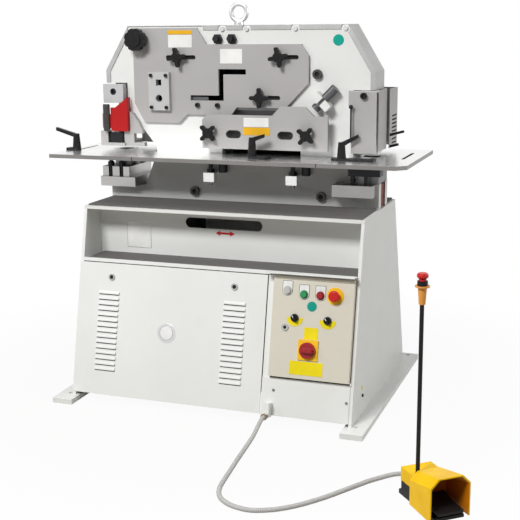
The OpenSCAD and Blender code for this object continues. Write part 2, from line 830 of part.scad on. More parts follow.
// Guards round the notcher: front sheet, end cover and slotted rear sheet
guard_half = 47;
guard_bulge = 4;
notch_guard_gap = 24;
notch_guard_front = 62;
notch_guard_back = 132;
notch_end = 36;
notch_end_t = 4;
guard_flange = 26;
guard_flange_l = 60;
notch_tab = 54;
jaw_clear = 2;
notch_guard_top = jaw_notch - jaw_clear;
guard_low = table_h + notch_guard_gap;
slot_n = 8;
slot_l = 80;
slot_h = 7;
slot_in = 12;
slot_pitch = 14.8;
slot_low = 16;
guard_bolt_drop = 14;
guard_bolt_d = 24;
guard_bolt_h = 12;
guard_grip_d = 10;
guard_grip_l = [36, 57];
guard_grip_out = 12;
guard_grip_rise = [6, 50];
guard_grip_turn = 75;
module notch_guard() {
  end_x = notch_x + notch_end;
  left = notch_x - guard_half;
  right = notch_x + guard_half;
  rear_right = right + guard_bulge;
  front = -face_y - notch_guard_front;
  rear = face_y + notch_guard_back;
  color(guard_grey) {
    block([left, front, guard_low], [right, front + sheet_t, notch_guard_top]);
    block([left, front + sheet_t, guard_low], [left + sheet_t, -face_y, notch_guard_top]);
    block([left + sheet_t, front + sheet_t, notch_guard_top - sheet_t], [right, -face_y, notch_guard_top]);
    both() block([left - guard_flange, face_y, notch_guard_top - guard_flange_l],
      [left + sheet_t, face_y + sheet_t, notch_guard_top]);
    block([end_x, -face_y + over, guard_low], [end_x + notch_end_t, face_y - over, jaw_notch]);
    both() block([end_x - notch_tab, inner_y + over, jaw_notch - notch_end_t],
      [end_x, face_y - over, jaw_notch]);
    block([left, rear - sheet_t, guard_low], [rear_right, rear, notch_guard_top]);
    block([left, face_y, guard_low], [left + sheet_t, rear - sheet_t, notch_guard_top]);
    difference() {
      block([rear_right - sheet_t, face_y + over, guard_low], [rear_right, rear - sheet_t, notch_guard_top]);
      for (i = [0:slot_n - 1])
        translate([0, rear - slot_in - slot_l / 2, guard_low + slot_low + i * slot_pitch])
        rib(rear_right - sheet_t - over, rear_right + over) obround(slot_l, slot_h);
    }
  }
  color(black) {
    on_face([notch_x, notch_guard_top - guard_bolt_drop], -front) socket_head(guard_bolt_d, guard_bolt_h);
    for (i = [0, 1])
      translate([rear_right - sheet_t / 2, face_y + guard_grip_out, guard_low + guard_grip_rise[i]])
      rotate([0, guard_grip_turn, 0]) cylinder(d = guard_grip_d, h = guard_grip_l[i]);
  }
}

// Tables, and the places of the stop arms on them
seam_gap = 2;
seam_shares = [-0.6482, 0.6607];
seam_left = seam_shares[0] * side_x;
seam_right = seam_shares[1] * side_x;
table_left = side_x + left_hang;
table_right = side_x + right_hang;
punch_table_back = 150;
table_slot_w = 12;
table_corner = 36;
punch_slot_in = 41;
punch_slot = [-21, 162];
notch_slot_in = 54;
notch_slot = [40, 200];
die_ease = 2;
table_clear = 2;
lever_stud_d = 12;
lever_bore = 20;
fence_w = 34;
fence_t = 8;
fence_tip = [20, 2];
fence_y = [-116, -167, -146];
feed_fence_share = 0.1625;
notch_fence_in = 78;
punch_fence_at = [-table_left + punch_slot_in, fence_y[0]];
feed_fence_at = [feed_fence_share * side_x, fence_y[1]];
notch_fence_at = [notch_x - notch_fence_in, fence_y[2]];
hub_z = table_h + 2 * slide_gap + fence_t;
module punch_table() {
  color(steel) layer(table_z, table_h) difference() {
    translate([-table_left, -table_front])
      square([table_left + seam_left - seam_gap, table_front + punch_table_back]);
    translate([-punch_x, 0]) circle(d = die_body_d + 2 * die_ease);
    translate([-table_left + punch_slot_in, punch_slot[0]]) rotate(90) obround(punch_slot[1], table_slot_w);
    translate(punch_fence_at) circle(d = run(lever_stud_d));
  }
}
module feed_table() {
  color(steel) layer(table_z, table_h) difference() {
    translate([seam_left, -table_front])
      square([seam_right - seam_left - seam_gap, table_front - face_y]);
    translate(feed_fence_at) circle(d = run(lever_stud_d));
  }
}
module notch_table() {
  color(steel) layer(table_z, table_h) difference() {
    polygon([[seam_right, -table_front], [table_right - table_corner, -table_front],
      [table_right, -table_front + table_corner], [table_right, table_back],
      [notch_back + table_clear, table_back], [notch_back + table_clear, -face_y],
      [seam_right, -face_y]]);
    rect([notch_x, 0], loose(notch_die_w), loose(2 * notch_die_out));
    translate([table_right - notch_slot_in, notch_slot[0]]) rotate(90) obround(notch_slot[1], table_slot_w);
    translate(notch_fence_at) circle(d = run(lever_stud_d));
  }
}
// Jacking brackets on the front plate, the ledges of the end tables and the clamp levers' studs
jack_shares = [-0.1964, 0.4054];
jack_cube = [44, 46, 36];
jack_drop = 107;
jack_d = 16;
jack_nut = 28;
jack_nut_h = 12;
jack_tail = 14;
bolt_step = 50;
bolt_boss_d = 34;
ledge_t = 14;
ledge_w = 40;
module table_brackets() {
  low = table_h - jack_drop;
  high = low + jack_cube.z;
  for (s = jack_shares) translate([s * side_x, -face_y - jack_cube.y / 2, 0]) {
    color(ivory) difference() {
      block([-jack_cube.x / 2, -jack_cube.y / 2, low], [jack_cube.x / 2, jack_cube.y / 2, high]);
      bar_z(0, 0, seated(jack_d), low - over, high + over);
    }
    color(black) {
      bar_z(0, 0, jack_d, low - jack_tail, table_z);
      layer(high, high + jack_nut_h) hexagon(jack_nut);
    }
    color(guard_grey) bar_z(bolt_step, jack_cube.y / 2 - bolt_boss_d / 2, bolt_boss_d, high, table_z);
  }
  color(guard_grey) {
    block([throat[1].x, -face_y - ledge_w, table_z - ledge_t], [throat[3].x + ledge_w, -face_y, table_z]);
    block([-punch_x - holder_w / 2, -face_y - ledge_w, table_z - ledge_t],
       [throat[1].x, -face_y - holder_out - over, table_z]);
  }
  color(black) for (p = [punch_fence_at, feed_fence_at, notch_fence_at])
    bar_z(p.x, p.y, lever_stud_d, table_z, hub_z + lever_bore - over);
}

// Hydraulics inside the base
barrel_d = 140;
barrel_l = 298;
barrel_cap = 24;
flange_d = 200;
flange_t = 26;
head_t = 40;
tank = [300, 440, 230];
tank_x = -60;
motor_d = 170;
motor_l = 240;
motor_foot = 30;
pump_d = 90;
pump_l = 70;
valve = [90, 110, 90];
module cylinder_barrel() {
  low = deck_under - barrel_l;
  color(dark) translate([-cyl_x, 0, 0]) difference() {
    union() {
      bar_z(0, 0, barrel_d, low, deck_under);
      bar_z(0, 0, flange_d, deck_under - flange_t, deck_under);
    }
    bar_z(0, 0, cyl_bore, low + barrel_cap, deck_under - head_t);
    bar_z(0, 0, run(rod_d), deck_under - head_t - over, deck_under + over);
  }
}
module hydraulic_unit() {
  tank_y = (rail_y[0] + rail_y[1]) / 2 - tank.y / 2;
  color(dark) translate([tank_x, tank_y, foot_t + rail_h]) {
    cube(tank);
    translate([0, motor_d / 2 + motor_foot, tank.z + motor_foot + motor_d / 2]) rotate([0, 90, 0]) {
      cylinder(d = motor_d, h = motor_l);
      translate([0, 0, motor_l]) cylinder(d = pump_d, h = pump_l);
    }
    translate([0, motor_foot + motor_d / 4, tank.z]) cube([motor_l, motor_d / 2, motor_foot + motor_d / 4]);
    translate([0, tank.y - valve.y, tank.z]) cube(valve);
  }
}

// Beam: outline of its thick body and of its thin ends
lobe_shares = [[-0.1429, 0.0697], [0.3839, 0.0697]];
lobe = all_at(lobe_shares);
belly_share = 0.3197;
belly_z = at([0, belly_share]).y;
beam_shares = [[-0.6875, belly_share], [-0.7679, 0.5082], [-0.7679, 0.5656], [-0.7857, 0.8811],
       [-0.7143, 0.9139], [0.7054, 0.9139], [0.7857, 0.8156], [0.8393, 0.7336], [0.8393, 0.582],
       [0.7143, 0.5615], [0.5714, 0.4057], [0.3839, 0.3648]];
beam_outline = concat(all_at(beam_shares), [lobe[1], lobe[0], [lobe[0].x, belly_z]]);
tongue_shares = [[-0.7679, 0.5656], [-0.7679, 0.877], [0.8393, 0.582], [0.8393, 0.7336]];
tongue = all_at(tongue_shares);
tongue_ends = [24, 18];
tongue_tips = [22, 20];
module beam() {
  blade_in = -beam_t / 2 + blade_depth;
  color(steel) difference() {
    union() {
      slab(-beam_t / 2, beam_t / 2) polygon(beam_outline);
      slab(-tongue_t / 2, tongue_t / 2) {
        polygon([tongue[0], [punch_pin.x - tongue_ends[0], tongue[0].y],
      [punch_pin.x - tongue_ends[0], punch_pin.y + tongue_tips[0]], tongue[1]]);
        polygon([tongue[2], [notch_pin.x + tongue_ends[1], tongue[2].y],
      [notch_pin.x + tongue_ends[1], notch_pin.y + tongue_tips[1]], tongue[3]]);
        polygon([[-cyl_x - rod_ear[0], belly_z], [-cyl_x - rod_ear[1], rod_pin.y - rod_ear[1]],
      [-cyl_x + rod_ear[1], rod_pin.y - rod_ear[1]], [-cyl_x + rod_ear[0], belly_z]]);
      }
      bar_y(punch_pin, yoke_pin_d, -cheek_out, cheek_out);
      bar_y(notch_pin, yoke_pin_d, -cheek_out, cheek_out);
      bar_y(rod_pin, rod_pin_d, -cheek_out, cheek_out);
    }
    bar_y(pivot, run(pivot_d), -beam_t, beam_t);
    slab(-beam_t, blade_in) {
      rect(angle_mid, angle_w, angle_l);
      rect(bar_mid, bar_w, bar_l);
      translate(lobe[0] - [over, over]) square([lobe[1].x - lobe[0].x + 2 * over, flat_blade_l + over]);
    }
    slab(-beam_t, beam_t) {
      rect(angle_mid, angle_w - 2 * window_rim, angle_l - 2 * window_rim);
      rect(bar_mid, bar_w - 2 * window_rim, bar_l - 2 * window_rim);
    }
  }
  color(dark) {
    z_blades(-blade_proud, blade_in - seat_gap);
    bar_blade(-blade_proud, blade_in);
    slab(-blade_proud, blade_in)
      polygon([[lobe[0].x, table_h + flat_open], [lobe[1].x, table_h + flat_open + slide_gap],
      [lobe[1].x, lobe[1].y + flat_blade_l], [lobe[0].x, lobe[0].y + flat_blade_l]]);
  }
}

// Punch ram, its yoke, coupling nut and punch
ram_w = 88;
ram_out = 32;
ram_h = 77;
ram_core_drop = 21;
ram_slab_drop = 4;
yoke_w = 48;
yoke_tip = 16;
yoke_play = 2;
ram_bolt_drop = 33;
ram_bolt_d = 26;
stem_d = 50;
nut_d = 64;
nut_rise = 56;
nut_l = 57;
punch_rise = 13;
module yoke_slot(p, d, play) {
  slab(-cheek_out - over, cheek_out + over) translate(p) obround(loose(d) + 2 * play, loose(d));
}
module cheeks(x, w, z0, z1) {
  both() block([x - w / 2, cheek_in, z0], [x + w / 2, cheek_out, z1]);
}
module punch_ram() {
  left = -punch_x - ram_w / 2;
  right = left + ram_w;
  front = face_y + ram_out;
  low = jaw_punch - ram_h;
  core_high = jaw_punch - ram_core_drop;
  nut_low = table_h + nut_rise;
  bolt_at = [-punch_x, jaw_punch - ram_bolt_drop];
  color(guard_grey) difference() {
    union() {
      block([left, -front, low], [right, front, core_high]);
      both() block([left, face_y + rim_t + slide_gap, low], [right, front, jaw_punch - ram_slab_drop]);
      cheeks(-punch_x, yoke_w, core_high - over, punch_pin.y + yoke_tip);
    }
    yoke_slot(punch_pin, yoke_pin_d, yoke_play);
    on_face(bolt_at, front) cylinder(d = ram_bolt_d, h = ram_bolt_d, center = true);
  }
  color(black) {
    bar_z(-punch_x, 0, stem_d, nut_low + nut_l, low);
    bar_z(-punch_x, 0, nut_d, nut_low, nut_low + nut_l);
    bar_z(-punch_x, 0, punch_d, table_h + punch_rise, nut_low);
    on_face(bolt_at, front - ram_bolt_d / 2) socket_head(ram_bolt_d - 2 * seat_gap, ram_bolt_d / 2);
  }
}

// Notching ram with its yoke and blade
notch_ram_w = 68;
notch_ram_out = 32;
notch_ram_rise = 58;
notch_ram_drop = 10;
notch_yoke_w = 40;
notch_blade_up = 6.5;
notch_blade_rise = 8;
module notch_ram() {
  low = table_h + notch_ram_rise;
  high = jaw_notch - notch_ram_drop;
  blade_low = table_h + notch_blade_up;
  color(steel) difference() {
    union() {
      block([notch_x - notch_ram_w / 2, -notch_ram_out, low],
      [notch_x + notch_ram_w / 2, notch_ram_out, high]);
      rib(notch_x - notch_blade_w / 2, notch_x + notch_blade_w / 2)
        polygon([[-notch_blade_out, blade_low], [notch_blade_out, blade_low + notch_blade_rise],
      [notch_blade_out, low + over], [-notch_blade_out, low + over]]);
      cheeks(notch_pin.x, notch_yoke_w, high - over, notch_pin.y + yoke_tip);
    }
    yoke_slot(notch_pin, yoke_pin_d, yoke_play);
  }
}

// Cylinder rod with its piston and fork
fork_w = 62;
fork_down = 77;
fork_floor = 46;
fork_up = 22;
piston_drop = 188;
piston_l = 40;
rod_play = 4.5;
module cylinder_rod() {
  low = rod_pin.y - fork_down;
  floor_z = rod_pin.y - fork_floor;
  piston = deck_under - piston_drop;
  color(steel) difference() {
    union() {
      bar_z(-cyl_x, 0, rod_d, piston, low + over);
      bar_z(-cyl_x, 0, cyl_bore - 2 * run_gap, piston, piston + piston_l);
      block([-cyl_x - fork_w / 2, -cheek_out, low], [-cyl_x + fork_w / 2, cheek_out, floor_z]);
      cheeks(-cyl_x, fork_w, floor_z - over, rod_pin.y + fork_up);
    }
    yoke_slot(rod_pin, rod_pin_d, rod_play);
  }
}

// Sliding guard over the bar and angle shears
angle_guard_shares = [[-0.775, 0.9816], [-0.775, 0.3893], [-0.7018, 0.2377], [-0.4357, 0.2377],
      [-0.3732, 0.3074], [-0.0446, 0.3074], [-0.0036, 0.3689], [0.3482, 0.3689],
      [0.5107, 0.5635], [0.5107, 0.7705], [0.4589, 0.8545], [-0.2196, 0.8545],
      [-0.2911, 0.9816]];
// Clamping slots: shift beside the knob, length
slot_shifts = [10, 26, 26, 4];
slot_lengths = [125, 98, 104, 44];
bar_block_t = 15;
block_bolt_in = 12;
block_bolt_d = 13;
block_bolt_h = 8;
angle_bolt_shares = [[-0.2911, 0.3832], [-0.1429, 0.3832]];
angle_bolt_d = 18;
angle_bolt_h = 10;
module angle_guard() {
  slot_at = [knob_places[0], knob_places[1], knob_places[2], lobed_place];
  block_front = angle_guard_front + bar_block_t;
  color(guard_grey) {
    slab(-angle_guard_front, -face_y - slide_gap) difference() {
      polygon(all_at(angle_guard_shares));
      for (i = [0:3]) translate(slot_at[i] + [slot_shifts[i], 0]) obround(slot_lengths[i], guard_slot_w);
      z_opening(angle_gap);
      bar_openings(2 * free_gap);
    }
    slab(-block_front, -angle_guard_front) difference() {
      rect(bar_mid, bar_w, bar_l);
      bar_openings(2 * free_gap);
    }
  }
  color(black) {
    for (i = [-1, 1], j = [-1, 1])
      on_face([bar_mid.x + i * (bar_w / 2 - block_bolt_in), bar_mid.y + j * (bar_l / 2 - block_bolt_in)],
        block_front) socket_head(block_bolt_d, block_bolt_h);
    for (p = all_at(angle_bolt_shares)) on_face(p, angle_guard_front) socket_head(angle_bolt_d, angle_bolt_h);
  }
}

// Guard of the flat shear, set along its slanting slots
flat_guard_shares = [[-0.2357, 0.0512], [-0.2357, 0.2746], [-0.2, 0.3156], [0.2732, 0.3156],
      [0.3339, 0.3873], [0.5071, 0.3873], [0.5679, 0.3156], [0.6625, 0.3156],
      [0.6625, 0.0512]];
flat_slot_l = 52;
flat_slot_turn = 45;
flat_hole_l = 62;
flat_hole_w = 31;
flat_hole_shares = [[-0.0054, 0.166], [0.3661, 0.166]];
module flat_guard() {
  color(guard_grey) slab(-flat_guard_front, -flat_guard_back) difference() {
    polygon(all_at(flat_guard_shares));
    for (i = [3, 4]) translate(knob_places[i]) rotate(flat_slot_turn) obround(flat_slot_l, guard_slot_w);
    for (p = all_at(flat_hole_shares)) translate(p) obround(flat_hole_l, flat_hole_w);
  }
}

// Four-armed clamping knobs on the guards' studs
star_arm_w = 15;
star_hub_d = 38;
star_t = 16;
star_neck_d = 26;
star_neck_h = 12;
knob_turns = [10, 12, 0, 45, 52];
module star_knob(i) {
  arm = (star_span - star_arm_w) / 2;
  color(black) on_face(knob_places[i], knob_front(i) + slide_gap) difference() {
    union() {
      cylinder(d = star_neck_d, h = star_neck_h);
      translate([0, 0, star_neck_h]) linear_extrude(star_t) rotate(knob_turns[i]) {
        circle(d = star_hub_d);
        for (a = [0:90:270]) rotate(a) {
          translate([0, -star_arm_w / 2]) square([arm, star_arm_w]);
          translate([arm, 0]) circle(d = star_arm_w);
        }
      }
    }
    bar_z(0, 0, run(stud_d), -over, stud_reach + over);
  }
}
module star_knob_1() star_knob(0);
module star_knob_2() star_knob(1);
module star_knob_3() star_knob(2);
module star_knob_4() star_knob(3);
module star_knob_5() star_knob(4);
lobe_n = 8;
lobe_cut_d = 16;
lobed_t = 26;
lobed_neck_d = 30;
lobed_neck_h = 14;
lobed_cap_d = 54;
lobed_cap_h = 4;
module lobed_knob() {
  color(black) on_face(lobed_place, angle_guard_front + slide_gap) difference() {
    union() {
      cylinder(d = lobed_neck_d, h = lobed_neck_h);
      translate([0, 0, lobed_neck_h]) linear_extrude(lobed_t) difference() {
        circle(d = lobed_d);
        for (i = [0:lobe_n - 1]) rotate(i * 360 / lobe_n)
        translate([(lobed_d + lobe_cut_d / 2) / 2, 0]) circle(d = lobe_cut_d);
      }
      translate([0, 0, lobed_neck_h + lobed_t]) cylinder(d = lobed_cap_d, h = lobed_cap_h);
    }
    bar_z(0, 0, run(stud_d), -over, stud_reach + over);
  }
}

// Stop arms on the tables: reach behind and before the pivot, direction
punch_fence_l = 40;
feed_fence_l = 76;
notch_fence_l = 128;
notch_fence_back = 35;
fence_turns = [180, -20, -5];
module fence(pivot_at, back, length, turn) {
  color(dark) translate([pivot_at.x, pivot_at.y, table_h + slide_gap]) rotate(turn) {
    linear_extrude(fence_t) difference() {
      union() {
        translate([-back, -fence_w / 2]) square([back + length, fence_w]);
        circle(d = fence_w);
      }
      circle(d = run(lever_stud_d));
    }
    translate([length - fence_tip[0], -fence_w / 2, fence_t]) cube([fence_tip[0], fence_w, fence_tip[1]]);
  }
}
module punch_fence() fence(punch_fence_at, 0, punch_fence_l, fence_turns[0]);
module feed_fence() fence(feed_fence_at, 0, feed_fence_l, fence_turns[1]);
module notch_fence() fence(notch_fence_at, notch_fence_back, notch_fence_l, fence_turns[2]);
// Clamp levers over the stop arms: height of the hub, reach and rise of the handle
hub_low_d = 34;
hub_high_d = 24;
handle_w = 13;
punch_lever = [58, 100, 22];
feed_lever = [68, 48, 14];
notch_lever = [58, 62, 30];
lever_turns = [170, 8, 2];
rod_reach = 34;
swan_d = 6;
swan_l = 128;
ball_d = 16;
module clamp_lever(pivot_at, form, turn) {
  top = form.x - handle_w;
  color(black) translate([pivot_at.x, pivot_at.y, hub_z]) rotate(turn) difference() {
    union() {
      cylinder(d1 = hub_low_d, d2 = hub_high_d, h = form.x);
      slab(-handle_w / 2, handle_w / 2)
        polygon([[0, top], [hub_high_d / 2, top], [form.y, top + form.z],
      [form.y, top + form.z + handle_w], [0, form.x]]);
    }
    bar_z(0, 0, run(lever_stud_d), -over, lever_bore);
  }
}
module punch_clamp_lever() clamp_lever(punch_fence_at, punch_lever, lever_turns[0]);
module feed_clamp_lever() clamp_lever(feed_fence_at, feed_lever, lever_turns[1]);
module notch_clamp_lever() {
  clamp_lever(notch_fence_at, notch_lever, lever_turns[2]);
  color(black) translate([notch_fence_at.x + rod_reach, notch_fence_at.y, hub_z + notch_lever.x]) {
    cylinder(d = swan_d, h = swan_l);
    translate([0, 0, swan_l]) sphere(d = ball_d);
  }
}
module hold_down_screw() {
  low = -hold_block.x / 2 - hold_foot_l;
  color(black) on_hold_down() rotate([0, 90, 0]) {
    bar_z(0, 0, hold_d, low, hold_block.x / 2 + hold_cap_l);
    bar_z(0, 0, hold_cap_d, hold_block.x / 2 + slide_gap, hold_block.x / 2 + hold_cap_l);
    bar_z(0, 0, hold_cap_d, low, low + hold_foot_t);
  }
}

// Red guard in front of the punch, hung on the stripper's post
shield_right = 62;
shield_left = -12;
shield_low = 59;
shield_step = [152, 20];
shield_peak = 191;
shield_out = 38;
shield_back = 30;
knuckle_d = 25;
knuckle_low = 70;
knuckle_h = 56;
module punch_guard() {
  front = -face_y - shield_out;
  left = -punch_x + shield_left;
  right = -punch_x + shield_right;
  high = knuckle_low + knuckle_h;
  translate([0, 0, stripper_low]) {
    color(red) {
      slab(front, front + sheet_t)
        polygon([[hinge_x, knuckle_low], [hinge_x, high], [left, high], [left, shield_step[0]],
      [left + shield_step[1], shield_step[0]], [right, shield_peak], [right, shield_low],
      [left, shield_low], [left, knuckle_low]]);
      block([right - sheet_t, front, shield_low], [right, front + shield_back, shield_peak]);
    }
    color(black) difference() {
      union() {
        bar_z(hinge_x, hinge_y, knuckle_d, knuckle_low, high);
        block([hinge_x - sheet_t, front + sheet_t, knuckle_low], [hinge_x + sheet_t, hinge_y, high]);
      }
      bar_z(hinge_x, hinge_y, run(hinge_d), knuckle_low - over, high + over);
    }
  }
}

// Control box and its door
door_shares = [[0.3874, 0.857], [0.5894, 0.857], [0.7715, 0.8628], [0.1788, 0.8859], [0.2914, 0.6146],
      [0.6987, 0.6118], [0.4801, 0.2972], [0.1755, 0.5107]];
start_at = on_box(door_shares[0]);
stop_at = on_box(door_shares[1]);
estop_at = on_box(door_shares[2]);
lamp_at = on_box(door_shares[3]);
left_at = on_box(door_shares[4]);
right_at = on_box(door_shares[5]);
main_at = on_box(door_shares[6]);
bezel_d = 30;
bezel_h = 4;
button_out = 7;
button_in = 14;
button_play = 0.5;
estop_plate_d = 62;
estop_plate_t = 3;
estop_neck_d = 28;
estop_neck_l = 12;
estop_cap_l = 12;
knob_d = 28;
knob_l = 9;
grip_w = 9;
grip_l = 12;
grip_reach = 22;
selector_turn = 35;
stem_small_d = 16;
main_plate = 74;
main_plate_t = 5;
main_l = 12;
main_grip_w = 14;
main_grip_l = 16;
main_turn = -5;
lamp_d = 24;
lamp_l = 8;
lock_d = 26;
lock_h = 4;
// Round head with a flared underside and an eased top
flare_share = 0.35;
ease_share = 0.72;
crown_share = 0.75;
module mushroom(d, neck, h) {
  rotate_extrude() polygon([[0, 0], [neck / 2, 0], [d / 2, h * flare_share], [d / 2, h * ease_share],
      [d / 2 * crown_share, h], [0, h]]);
}
// Piece on the door's face at p, along its outward normal
module on_door(p, out) {
  on_front() on_face(p, pan_d + out) children();
}
module washer(d, bore, h) {
  linear_extrude(h) difference() {
    circle(d = d);
    circle(d = bore);
  }
}
module control_box() {
  color(beige) on_front() difference() {
    block([box_x, 0, box_low], [box_x + box_w, box_d, box_high]);
    block([box_x + wall_t, -over, box_low + wall_t],
       [box_x + box_w - wall_t, box_d - wall_t, box_high - wall_t]);
  }
}
module control_door() {
  button_bore = button_d + 2 * button_play;
  estop_bore = estop_neck_d + 2 * button_play;
  holes = [[start_at, button_bore], [stop_at, button_bore], [estop_at, estop_bore],
      [left_at, run(stem_small_d)], [right_at, run(stem_small_d)], [main_at, run(stem_small_d)]];
  color(beige) {
    on_front() difference() {
      block([box_x, -pan_d, box_low], [box_x + box_w, -slide_gap, box_high]);
      block([box_x + wall_t, -pan_d + wall_t, box_low + wall_t],
      [box_x + box_w - wall_t, over, box_high - wall_t]);
      for (h = holes) on_face(h[0], pan_d) cylinder(d = h[1], h = 2 * pan_d, center = true);
    }
    for (p = [start_at, stop_at]) on_door(p, 0) washer(bezel_d, button_bore, bezel_h);
    on_door(lamp_at, 0) {
      cylinder(d = bezel_d, h = bezel_h);
      cylinder(d = lamp_d, h = lamp_l);
    }
    on_door(on_box(door_shares[7]), 0) cylinder(d = lock_d, h = lock_h);
  }
  color(yellow) {
    on_door(estop_at, 0) washer(estop_plate_d, estop_bore, estop_plate_t);
    on_door(main_at, 0) linear_extrude(main_plate_t) difference() {
      square(main_plate, center = true);
      circle(d = run(stem_small_d));
    }
  }
}
module push_button(p) on_door(p, -button_in) cylinder(d = button_d, h = button_in + button_out + bezel_h);
module start_button() color(green) push_button(start_at);
module stop_button() color(red) push_button(stop_at);
module panel_estop() {
  color(red) {
    on_door(estop_at, -button_in) cylinder(d = estop_neck_d, h = button_in + estop_plate_t + estop_neck_l);
    on_door(estop_at, estop_plate_t + estop_neck_l) mushroom(estop_d, estop_neck_d, estop_cap_l);
  }
}
module selector(p) {
  color(black) {
    on_door(p, -button_in) cylinder(d = stem_small_d, h = button_in + over);
    on_door(p, slide_gap) {
      cylinder(d = knob_d, h = knob_l);
      rotate(selector_turn) linear_extrude(knob_l + grip_l) square([grip_w, grip_reach], center = true);
    }
  }
}
module selector_left() selector(left_at);
module selector_right() selector(right_at);
module main_switch() {
  color(red) {
    on_door(main_at, -button_in) cylinder(d = stem_small_d, h = button_in + main_plate_t + over);
    on_door(main_at, main_plate_t + slide_gap) {
      cylinder(d = main_d, h = main_l);
      rotate(main_turn) linear_extrude(main_l + main_grip_l) obround(main_d - main_l, main_grip_w);
    }
  }
}

// Front door with two columns of louvres and two locks, placed from the door's middle
door_low = 13;
door_high = slope(tray_h) - lip_l - panel_gap;
door_mid = (door_right - side_x) / 2;
door_w = door_right + side_x;
door_l = door_high - door_low;
door_edge = 22;
door_hem = 16;
louvre_shares = [-0.3286, 0.3415];
louvre_low_share = 0.187;
louvre_pitch_share = 0.0413;
louvre_h = 12;
louvre_out = 6;
louvre_lip = 4;
louvre_slit = 5;
lock_shares = [-0.3195, 0.3351];
lock_drop = 53;
module louvres() {
  for (s = louvre_shares, i = [0:louvre_n - 1])
    translate([door_mid + s * door_w, 0, door_low + (louvre_low_share + i * louvre_pitch_share) * door_l])
    rib(-louvre_l / 2, louvre_l / 2) children();
}
module front_door() {
  face = -sheet_t - slide_gap;
  hem_left = -inner_x + door_edge;
  hem_right = door_right - door_edge;
  hem_low = door_low + door_edge;
  hem_high = door_high - door_edge;
  color(ivory) on_front() {
    difference() {
      union() {
        block([-side_x, face, door_low], [door_right, -slide_gap, door_high]);
        difference() {
          block([hem_left, -slide_gap, hem_low], [hem_right, door_hem, hem_high]);
          block([hem_left + sheet_t, -over, hem_low + sheet_t],
            [hem_right - sheet_t, door_hem + over, hem_high - sheet_t]);
        }
        louvres() polygon([[face, louvre_h], [-sheet_t - louvre_out, louvre_lip],
      [-sheet_t - louvre_out, 0], [face, 0]]);
      }
      louvres() translate([-louvre_out, -over]) square([louvre_out + over, louvre_slit + over]);
    }
    for (s = lock_shares)
      on_face([door_mid + s * door_w, door_high - lock_drop], -face) cylinder(d = lock_d, h = lock_h);
  }
}

// Gland bracket at the foot of the fixed panel
gland_in = 31;
gland_up = 20;
gland_box = [26, 34, 51];
gland_drop = 5;
gland_d = 24;
gland_l = 14;
gland_reach = 47;
gland_x = post_x + gland_in;
gland_z = foot_t + gland_up;
gland_face = base_front + gland_reach;
module conduit_gland() {
  color(ivory) on_front()
    block([gland_x - gland_box.x / 2, -gland_box.y - sheet_t, panel_low - gland_drop],
       [gland_x + gland_box.x / 2, -sheet_t, panel_low - gland_drop + gland_box.z]);
  color(steel) difference() {
    bar_y([gland_x, gland_z], gland_d, -gland_face, -base_front - sheet_t);
    bar_y([gland_x, gland_z], conduit_bore, -gland_face - over, -gland_face + gland_l);
  }
}

// Foot switch
switch_back = 94;
switch_mouth = 112;
switch_mid = 18;
switch_rear_w = 104;
switch_rear_h = 93;
switch_base_h = 50;
switch_base_w = 100;
switch_plate_h = 10;
tab = [14, 40, 14];
shell_t = 4;
hood_low = 4;
hood_back_h = 108;
hood_shoulder = 26;
pole_at = [-30, -30];
bell_d = 27;
bell_low_d = 20;
bell_l = 52;
rim_d = 44;
rim_l = 4;
neck_d = 31;
collar_l = 14;
collar_low = pole_top + bell_l + rim_l;
plunger_d = 22;
plunger_in = 2;
estop_travel = 5;
treadle_w = 84;
treadle_mouth = 118;
treadle_t = 8;
treadle_z = 20;
treadle_pin_d = 12;
treadle_hub_d = 22;
treadle_pivot = [0, 26];
hinge_lug = [18, 46, 6];
module footswitch_base() {
  color(black) on_switch() {
    block([-switch_back, -switch_base_w / 2, 0], [-switch_mid, switch_base_w / 2, switch_base_h]);
    block([-switch_mid, -switch_base_w / 2, 0], [switch_mouth - shell_t, switch_base_w / 2, switch_plate_h]);
    both() block([-switch_back - tab.x, switch_base_w / 2 - tab.y, 0],
      [-switch_back, switch_base_w / 2, tab.z]);
    bar_z(pole_at.x, pole_at.y, pole_d, switch_rear_h, pole_top);
    translate([pole_at.x, pole_at.y, collar_low]) washer(neck_d, run(plunger_d), collar_l);
    both() block([-hinge_lug.x / 2, hinge_lug.y - hinge_lug.z / 2, switch_plate_h],
      [hinge_lug.x / 2, hinge_lug.y + hinge_lug.z / 2, treadle_pivot.y + hinge_lug.x / 2]);
    bar_y(treadle_pivot, treadle_pin_d, -hinge_lug.y, hinge_lug.y);
  }
}
// Cross-section of the hood
module hood_section(w, h, low) {
  polygon([[-w / 2, low], [w / 2, low], [w / 2, h - hood_shoulder], [w / 2 - hood_shoulder, h],
      [-w / 2 + hood_shoulder, h], [-w / 2, h - hood_shoulder]]);
}
